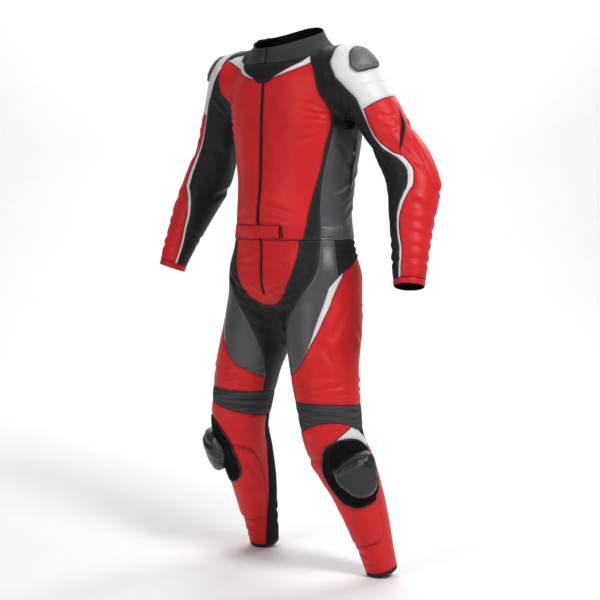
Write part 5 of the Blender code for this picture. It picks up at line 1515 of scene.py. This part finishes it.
def moved_in(skin, loop, inward):
    """A loop's points moved inward over the skin, as a closed smooth line."""
    p, n = skin.points[loop], skin.normal[loop]
    ahead = np.roll(p, -1, 0) - np.roll(p, 1, 0)
    into = np.cross(n, ahead)
    into /= np.maximum(np.linalg.norm(into, axis=1), 1e-9)[:, None]
    line = p + inward * into
    for _ in range(2):
        line = 0.25 * np.roll(line, 1, 0) + 0.5 * line + 0.25 * np.roll(line, -1, 0)
    return np.vstack([line, line[:1]])


def along_line(line, places):
    """Points on a line at distances from its start."""
    length = np.concatenate([[0], np.cumsum(np.linalg.norm(np.diff(line, axis=0), axis=1))])
    return np.column_stack([np.interp(places, length, line[:, k]) for k in range(3)]), length[-1]


class Bars:
    """Many small swept bars gathered into one mesh."""

    def __init__(self):
        self.points, self.faces = [], []

    def add(self, rings, closed=True):
        """Rings of points, each joined to the next; closed caps both ends."""
        start, count = len(self.points), len(rings[0])
        for ring in rings:
            self.points.extend(ring)
        for r in range(len(rings) - 1):
            for k in range(count):
                a, b = start + r * count + k, start + r * count + (k + 1) % count
                self.faces.append([a, b, b + count, a + count])
        if closed:
            last = start + (len(rings) - 1) * count
            self.faces.append(list(range(start + count - 1, start - 1, -1)))
            self.faces.append(list(range(last, last + count)))

    def make(self, name, look):
        if not self.points:
            return None
        obj = add_mesh(name, np.array(self.points), self.faces, [material(look)])
        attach(obj, "root")
        SLOT_OF.get(look, look)
        return obj


def sew(skin, name, height, rows, threads):
    """Rows of stitches inside a piece's edges."""
    kind, test = kind_of(name), piece_test(name)
    own = (lambda label: label == name) if kind == "shoulder" else test
    over, _ = outer_height(skin, name, height)
    faces = [f for f, label in zip(skin.faces, skin.labels) if own(label)]
    covered = np.zeros(len(skin.points), bool)
    if kind not in OVERLAYS:
        for f, label in zip(skin.faces, skin.labels):
            if "|" in label and test(label):
                covered[f] = True
    for inward, thread in rows:
        for loop in border_loops(faces):
            if len(loop) < 12:
                continue
            line = moved_in(skin, loop, inward)
            _, total = along_line(line, [0.0])
            count = int(total / STITCH.pitch)
            starts = np.arange(count) * total / count
            middle, _ = along_line(line, starts + 0.5 * STITCH.long)
            keep = []
            for k, spot in enumerate(middle):
                _, index, _ = skin.tree.find(spot)
                if skin.seam_tree.find(spot)[2] > STITCH_CLEAR * inward and not covered[index]:
                    keep.append(k)
            if not keep:
                continue
            starts = starts[keep]
            stations = [along_line(line, starts + share * STITCH.long)[0] for share in (0.0, 0.3, 0.7, 1.0)]
            laid = [skin.laid(spots, over) for spots in stations]
            lifts = (-STITCH.sink, STITCH.lift, STITCH.lift, -STITCH.sink)
            for k in range(len(keep)):
                ahead = laid[-1][0][k] - laid[0][0][k]
                ahead /= np.linalg.norm(ahead)
                rings = []
                for (place, out), lift, half in zip(laid, lifts, (0.7, 1.0, 1.0, 0.7)):
                    up, aside = out[k], np.cross(out[k], ahead)
                    centre, half = place[k] + lift * up, half * STITCH.half
                    rings.append([
                        centre + half * up, centre - half * aside, centre - half * up, centre + half * aside,
                    ])  # fmt: skip
                threads[thread].add(rings, closed=False)


def sew_all(skin, made, height):
    """The stitches of all pieces, one mesh for each thread and garment."""
    for garment, wanted in (("jacket", True), ("trousers", False)):
        threads = {name: Bars() for name in ("red", "pale", "dark")}
        for name in made:
            kind = kind_of(name)
            if kind in ROWS and (kind not in TROUSER_KINDS) == wanted:
                sew(skin, name, height, ROWS[kind], threads)
        for thread, bars in threads.items():
            bars.make("stitches_%s_%s" % (garment, thread), "thread_" + thread)


def tube_round(skin, name, height, band, title):
    """A rounded band laid along a piece's edge."""
    faces = [f for f, label in zip(skin.faces, skin.labels) if piece_test(name)(label)]
    over, _ = outer_height(skin, name, height)
    bars = Bars()
    loop = max(border_loops(faces), key=len)
    line = moved_in(skin, loop, band.inward)
    _, total = along_line(line, [0.0])
    count = int(total / EDGE_PITCH)
    spots, _ = along_line(line, np.arange(count) * total / count)
    place, out = skin.laid(spots, over)
    ahead = np.roll(place, -1, 0) - np.roll(place, 1, 0)
    aside = np.cross(out, ahead)
    aside /= np.linalg.norm(aside, axis=1)[:, None]
    rings = []
    for k in range(count):
        angles = np.radians([-30, 20, 55, 90, 125, 160, 210])
        rings.append([
            place[k] + band.half * np.cos(a) * aside[k] + band.rise * np.sin(a) * out[k] for a in angles
        ])  # fmt: skip
    bars.add(rings + rings[:1], closed=False)
    return bars.make(title, "rim")


def zip_line(skin, over, zs, turns):
    """Points down the body laid on the cloth, with the way out and the way across."""
    spots = np.vstack([settle(body_ray(z, np.array([turn])), 6) for z, turn in zip(zs, turns)])
    place, out = skin.laid(spots, over)
    ahead = np.gradient(place, axis=0)
    across = np.cross(ahead, out)
    across /= np.linalg.norm(across, axis=1)[:, None]
    ahead = np.cross(out, across)
    return place, out, across, ahead


def zip_teeth(line, bars, sink=0.0002):
    """Two rows of interlocking teeth."""
    for k, (place, out, across, ahead) in enumerate(zip(*line)):
        way = 1 if k % 2 else -1
        centre = place + way * 0.35 * TOOTH.wide * across - sink * out
        rings = []
        for up, share in ((0.0, 1.0), (0.6, 1.0), (1.0, 0.55)):
            wide, long = share * TOOTH.wide, share * 0.5 * TOOTH.long
            rings.append([
                centre + x * wide * across + y * long * ahead + up * TOOTH.rise * out
                for x, y in ((-1, -1), (1, -1), (1, 1), (-1, 1))
            ])  # fmt: skip
        bars.add(rings)


def strip(line, profile, bars):
    """A strip along a line; profile gives across and up, in order round."""
    bars.add([[p + x * c + y * o for x, y in profile] for p, o, c, _ in zip(*line)])


def build_zips(skin, height):
    """Teeth of the front, fly and side zips, and the side zips' tapes and lips."""
    teeth = Bars()
    over, _ = outer_height(skin, "front_zip", height)
    zs = np.arange(-0.101, BELT_Z[1] + 0.002, -TOOTH.pitch)
    zip_teeth(zip_line(skin, over, zs, 0 * zs), teeth)
    over, _ = outer_height(skin, "fly_zip", height)
    zs = np.arange(WAIST - 0.006, FLY_ZIP_END + 0.004, -TOOTH.pitch)
    zip_teeth(zip_line(skin, over, zs, 0 * zs), teeth)
    rows = np.array(sorted(SIDE_ZIP), float)
    for side, sign in SIDES.items():
        over, _ = outer_height(skin, "side_" + side, height)
        zs = np.arange(rows[-1, 0], rows[0, 0], -TOOTH.pitch)
        line = zip_line(skin, over, zs, sign * np.interp(zs, rows[:, 0], rows[:, 1]))
        tape, lips = Bars(), Bars()
        flat = [(-TAPE_HALF, -0.0008), (-TAPE_HALF, 0.0004), (TAPE_HALF, 0.0004), (TAPE_HALF, -0.0008)]
        strip([part[::2] for part in line], flat, tape)
        tape.make("zip_tape_" + side, "tape")
        for way in (-1, 1):
            angles = np.radians([-20, 20, 60, 100, 140, 180, 230])
            lip = [(way * LIP_OUT + LIP_HALF * np.cos(a), LIP_RISE * np.sin(a)) for a in angles]
            strip([part[::2] for part in line], lip, lips)
        lips.make("zip_lips_" + side, "grey")
        line[0][:] += 0.0005 * line[1]
        zip_teeth(line, teeth)
    teeth.make("zip_teeth", "coil")
    # a black strip at the belt tab's end, painting the dark end and the shadow that falls there
    over, _ = outer_height(skin, "belt_tab", height)
    zs = np.linspace(BELT_Z[1] - 0.001, BELT_Z[0] + 0.001, 14)
    band = Bars()
    end = [(-END_HALF, END_LOW), (-END_HALF, END_RISE), (END_HALF, END_RISE), (END_HALF, END_LOW)]
    strip(zip_line(skin, over, zs, 0 * zs + BELT_TURN[1] - END_IN), end, band)
    band.make("belt_tab_end_and_shadow", "black")


LOOK_OF = {
    "back": "red", "front": "red", "sleeve": "red", "thigh": "red", "shin": "red", "fly_panel": "red",
    "cuff": "red", "flash": "white", "thigh_flash": "white", "knee_flash": "white", "piping": "white",
    "shoulder": "white", "sleeve_inner": "black", "inner_leg": "black", "side_strip": "black",
    "side": "grey", "thigh_front": "grey", "collar": "collar", "throat_yoke": "stretch",
    "waist_stretch": "stretch", "knee_band": "band", "calf": "knit", "hem": "binding",
    "front_zip": "tape", "fly_zip": "tape", "belt_tab": "red", "side_tab": "grey", "gusset": "stretch",
    "knee_patch": "hook", "knee_puck": "hard", "shoulder_cup": "cup", "zip_slider": "metal",
}  # fmt: skip

SLOT_OF = {
    "collar": "black", "hook": "tape", "binding": "black", "lining": "stretch", "band": "stretch",
    "thread_red": "red", "thread_pale": "white", "thread_dark": "black", "coil": "tape", "rim": "black",
    "knit": "stretch",
}  # fmt: skip
HARD = ("knee_puck", "shoulder_cup")
OVERLAYS = ("belt_tab", "side_tab", "knee_patch") + HARD
TROUSER_KINDS = (
    "thigh", "thigh_flash", "thigh_front", "inner_leg", "knee_band", "knee_flash", "shin", "calf", "hem",
    "knee_patch", "knee_puck", "fly_panel", "fly_zip", "waist_stretch",
)  # fmt: skip
RESTS = {
    "belt_tab": ("front_left", "front_right", "front_zip"), "side_tab": ("side",),
    "knee_patch": ("shin", "calf"),
}  # fmt: skip
# the cut of each piece: width and length in metres, and its flat area
FLAT = {
    "back": (0.345, 0.482, 0.1214), "belt_tab": (0.187, 0.032, 0.0058), "calf": (0.137, 0.391, 0.043),
    "collar": (0.366, 0.097, 0.0267), "cuff": (0.22, 0.016, 0.0034),
    "flash_left": (0.022, 0.049, 0.00101), "flash_right": (0.041, 0.07, 0.00225),
    "fly_panel": (0.221, 0.159, 0.0274), "fly_zip": (0.01, 0.131, 0.0008),
    "front_left": (0.185, 0.413, 0.06), "front_right": (0.199, 0.437, 0.0662),
    "front_zip": (0.01, 0.372, 0.003), "gusset": (0.012, 0.098, 0.00073), "hem": (0.233, 0.01, 0.00215),
    "inner_leg": (0.203, 0.38, 0.0337), "knee_band": (0.462, 0.095, 0.0267),
    "knee_flash_left": (0.148, 0.072, 0.0077), "knee_flash_right": (0.195, 0.087, 0.012),
    "knee_patch_left": (0.148, 0.172, 0.0204), "knee_patch_right": (0.179, 0.172, 0.0219),
    "piping": (0.012, 0.426, 0.0032), "shin": (0.292, 0.4, 0.0869), "shoulder": (0.265, 0.158, 0.0327),
    "side": (0.184, 0.268, 0.0456), "side_strip": (0.038, 0.263, 0.0048),
    "side_tab": (0.054, 0.027, 0.0014), "sleeve_inner": (0.296, 0.64, 0.0958),
    "sleeve": (0.202, 0.426, 0.075), "thigh_flash": (0.016, 0.199, 0.0019),
    "thigh_front": (0.128, 0.328, 0.024), "thigh": (0.415, 0.386, 0.1135),
    "throat_yoke": (0.125, 0.06, 0.0063), "waist_stretch": (0.5, 0.082, 0.0226),
}  # fmt: skip

# each look: colour and the colour of its edges by the seams (wear, with a painted highlight where it is
# lighter and painted shade where it is darker), roughness, metallic, gloss, how far colour varies, grain
# cells a metre and their height, height of small folds, pitch of ribs
LOOKS = {
    "red": Look((0.6, 0.017, 0.02), (0.2, 0.005, 0.007), 0.42, 0.0, 0.17, 0.09, 950, 0.00009, 0.0006, 0.0),
    "black": Look((0.0165, 0.0165, 0.0175), (0.075, 0.075, 0.078),
        0.46, 0.0, 0.14, 0.15, 950, 0.00009, 0.0006, 0.0),
    "stretch": Look((0.019, 0.019, 0.0205), (0.04, 0.04, 0.042),
        0.8, 0.0, 0.06, 0.2, 700, 0.00014, 0.0005, 0.0018),
    "knit": Look((0.0155, 0.0155, 0.017), (0.036, 0.036, 0.038),
        0.84, 0.0, 0.06, 0.2, 700, 0.00014, 0.0006, 0.0022),
    "band": Look((0.044, 0.044, 0.047), (0.075, 0.075, 0.079),
        0.62, 0.0, 0.1, 0.55, 700, 0.00012, 0.0004, 0.0034),
    "collar": Look((0.038, 0.0385, 0.041), (0.075, 0.075, 0.078),
        0.7, 0.0, 0.12, 0.15, 650, 0.00012, 0.0005, 0.0),
    "grey": Look((0.064, 0.0645, 0.068), (0.17, 0.17, 0.175),
        0.37, 0.0, 0.46, 0.12, 850, 0.0001, 0.0006, 0.0),
    "white": Look((0.69, 0.69, 0.685), (0.54, 0.54, 0.54),
        0.42, 0.0, 0.26, 0.02, 950, 0.00008, 0.0004, 0.0),
    "hard": Look((0.013, 0.0132, 0.0142), (0.09, 0.09, 0.094),
        0.34, 0.0, 0.46, 0.12, 1600, 0.00006, 0.0, 0.0),
    "cup": Look((0.15, 0.15, 0.154), (0.26, 0.26, 0.266), 0.5, 0.15, 0.42, 0.16, 1600, 0.00005, 0.0, 0.0),
    "tape": Look((0.01, 0.01, 0.011), (0.02, 0.02, 0.021), 0.7, 0.0, 0.15, 0.1, 1500, 0.0001, 0.0, 0.0012),
    "coil": Look((0.016, 0.016, 0.017), (0.03, 0.03, 0.03), 0.4, 0.0, 0.35, 0.1, 2500, 0.00002, 0.0, 0.0),
    "hook": Look((0.0075, 0.0075, 0.0085), (0.03, 0.03, 0.032),
        0.95, 0.0, 0.06, 0.3, 520, 0.0009, 0.0003, 0.0),
    "rim": Look((0.024, 0.024, 0.0255), (0.033, 0.033, 0.035),
        0.55, 0.0, 0.3, 0.1, 1200, 0.00008, 0.0, 0.0012),
    "binding": Look((0.013, 0.011, 0.012), (0.04, 0.03, 0.032),
        0.5, 0.0, 0.25, 0.1, 950, 0.0001, 0.0003, 0.0),
    "lining": Look((0.008, 0.008, 0.009), (0.008, 0.008, 0.009),
        0.85, 0.0, 0.08, 0.2, 500, 0.0002, 0.0004, 0.0026),
    "metal": Look((0.42, 0.42, 0.43), (0.42, 0.42, 0.43), 0.3, 1.0, 0.5, 0.05, 2500, 0.00002, 0.0, 0.0),
    "thread_red": Look((0.36, 0.01, 0.013), (0.36, 0.01, 0.013),
        0.6, 0.0, 0.2, 0.05, 2500, 0.00004, 0.0, 0.0),
    "thread_pale": Look((0.34, 0.34, 0.345), (0.34, 0.34, 0.345),
        0.6, 0.0, 0.2, 0.05, 2500, 0.00004, 0.0, 0.0),
    "thread_dark": Look((0.042, 0.042, 0.045), (0.042, 0.042, 0.045),
        0.6, 0.0, 0.2, 0.05, 2500, 0.00004, 0.0, 0.0),
    "floor": Look((0.9, 0.9, 0.9), (0.9, 0.9, 0.9), 0.75, 0.0, 0.2, 0.01, 30, 0.00005, 0.0, 0.0),
}  # fmt: skip


def material(name):
    """A finish with clouded colour, edge colour by the seams that is wear with painted highlight and painted
    shade, grain, small folds and ribs.
    """
    if "suit_" + name in bpy.data.materials:
        return bpy.data.materials["suit_" + name]
    look = LOOKS[name]
    made = bpy.data.materials.new("suit_" + name)
    made.use_nodes = True
    tree = made.node_tree
    shader = tree.nodes["Principled BSDF"]
    place = tree.nodes.new("ShaderNodeTexCoord").outputs["Object"]

    def new(kind, **values):
        node = tree.nodes.new(kind)
        for key, value in values.items():
            node.inputs[key].default_value = value
        return node

    cloud = new("ShaderNodeTexNoise", Scale=12.0, Detail=5.0, Roughness=0.62)
    tree.links.new(place, cloud.inputs["Vector"])
    ramp = tree.nodes.new("ShaderNodeValToRGB")
    for stop, share in zip(ramp.color_ramp.elements, (1 - look.varies, 1 + look.varies)):
        stop.color = (*(min(1.0, c * share) for c in look.colour), 1.0)
    ramp.color_ramp.elements[0].position, ramp.color_ramp.elements[1].position = 0.30, 0.70
    if not look.rib:
        tree.links.new(cloud.outputs["Fac"], ramp.inputs["Fac"])
    if look.rib:
        squash = new("ShaderNodeMapping", Scale=(9.0, 9.0, 160.0))
        streak = new("ShaderNodeTexNoise", Scale=1.0, Detail=3.0, Roughness=0.7)
        tree.links.new(place, squash.inputs["Vector"])
        tree.links.new(squash.outputs["Vector"], streak.inputs["Vector"])
        tree.links.new(streak.outputs["Fac"], ramp.inputs["Fac"])
    # the edge attribute mixes in the edge colour: wear, with a painted highlight along the seams on most
    # looks and painted shade along the seams on red and white
    edge = tree.nodes.new("ShaderNodeAttribute")
    edge.attribute_name = "edge"
    worn = tree.nodes.new("ShaderNodeMath")
    worn.operation = "MULTIPLY"
    tree.links.new(edge.outputs["Fac"], worn.inputs[0])
    tree.links.new(cloud.outputs["Fac"], worn.inputs[1])
    mix = tree.nodes.new("ShaderNodeMix")
    mix.data_type = "RGBA"
    tree.links.new(worn.outputs["Value"], mix.inputs["Factor"])
    tree.links.new(ramp.outputs["Color"], mix.inputs[6])
    mix.inputs[7].default_value = (*look.worn, 1.0)
    tree.links.new(mix.outputs[2], shader.inputs["Base Color"])
    spread = new("ShaderNodeMapRange", **{"To Min": look.rough - 0.06, "To Max": look.rough + 0.08})
    tree.links.new(cloud.outputs["Fac"], spread.inputs["Value"])
    tree.links.new(spread.outputs["Result"], shader.inputs["Roughness"])
    shader.inputs["Metallic"].default_value = look.metal
    shader.inputs["Specular IOR Level"].default_value = look.gloss
    before = None
    grain = new("ShaderNodeTexVoronoi", Scale=float(look.grain))
    heights = [(grain, "Distance", look.rise)]
    if look.folds:
        heights.append((new("ShaderNodeTexNoise", Scale=62.0, Detail=3.0, Distortion=0.6), "Fac", look.folds))
    if look.rib:
        wave = new("ShaderNodeTexWave", Scale=0.314 / look.rib, Distortion=0.5, Detail=1.0)
        wave.bands_direction = "Z"
        heights.append((wave, "Fac", 0.16 * look.rib))
    for texture, socket, rise in heights:
        tree.links.new(place, texture.inputs["Vector"])
        bump = new("ShaderNodeBump", Distance=rise)
        tree.links.new(texture.outputs[socket], bump.inputs["Height"])
        if before:
            tree.links.new(before.outputs["Normal"], bump.inputs["Normal"])
        before = bump
    tree.links.new(before.outputs["Normal"], shader.inputs["Normal"])
    return made


# ---------------------------------------------------------------- studio
def area_light(name, place, target, size, power):
    lamp = bpy.data.lights.new(name, "AREA")
    lamp.shape, lamp.size, lamp.energy = "DISK", size, power
    obj = bpy.data.objects.new(name, lamp)
    obj.location = place
    obj.rotation_euler = (Vector(target) - Vector(place)).to_track_quat("-Z", "Y").to_euler()
    bpy.context.scene.collection.objects.link(obj)


def studio():
    """A pale sweep, soft lights and the camera in front of the garment's left."""
    low = CAD_BOX[0][2]
    turn = np.radians(CAMERA_TURN)
    away = np.array([-np.sin(turn), np.cos(turn)])
    side = np.array([away[1], -away[0]])
    points = []
    for out, up in SWEEP:
        for across in np.linspace(-SWEEP_HALF, SWEEP_HALF, SWEEP_COLUMNS):
            x, y = away * out + side * across
            points.append((x, y, low - FLOOR_DROP + up))
    faces = []
    for row in range(len(SWEEP) - 1):
        for a in range(SWEEP_COLUMNS * row, SWEEP_COLUMNS * (row + 1) - 1):
            faces.append([a, a + 1, a + SWEEP_COLUMNS + 1, a + SWEEP_COLUMNS])
    add_mesh("floor", points, faces, [material("floor")])
    world = bpy.data.worlds.new("studio")
    world.use_nodes = True
    world.node_tree.nodes["Background"].inputs["Color"].default_value = (1.0, 1.0, 1.0, 1.0)
    world.node_tree.nodes["Background"].inputs["Strength"].default_value = SKY
    bpy.context.scene.world = world
    bpy.context.scene.view_settings.view_transform = "Standard"
    for light in LIGHTS:
        x, y = side * light.across - away * light.ahead
        aim = -away * light.aim_ahead
        area_light(light.name, (x, y, light.up), (*aim, light.aim_up), light.size, light.power)
    camera = bpy.data.cameras.new("camera")
    camera.sensor_width, camera.lens = SENSOR, SENSOR * FOCAL / PICTURE_WIDE
    obj = bpy.data.objects.new("camera", camera)
    place = np.array([*(-away * CAMERA_FAR), CAMERA_HEIGHT])
    shift = np.array([*(side * SHIFT_RIGHT), -SHIFT_DOWN]) * CAMERA_FAR / FOCAL
    look = place + np.array([*(away * CAMERA_FAR), 0]) + shift
    obj.location = place
    obj.rotation_euler = Vector(look - place).to_track_quat("-Z", "Y").to_euler()
    bpy.context.scene.collection.objects.link(obj)
    bpy.context.scene.camera = obj


def main():
    skin = Skin()
    height = relief(skin)
    made = build_cloth(skin, height)
    sew_all(skin, made, height)
    build_zips(skin, height)
    for side in SIDES:
        tube_round(skin, "knee_patch_" + side, height, PATCH_EDGE, "patch_edge_" + side)
        tube_round(skin, "shoulder_cup_" + side, height, CUP_EDGE, "cup_edge_" + side)
    for name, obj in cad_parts.items():
        if name not in made:
            obj.data.materials.clear()
            obj.data.materials.append(material(LOOK_OF[kind_of(name)]))
    studio()


main()
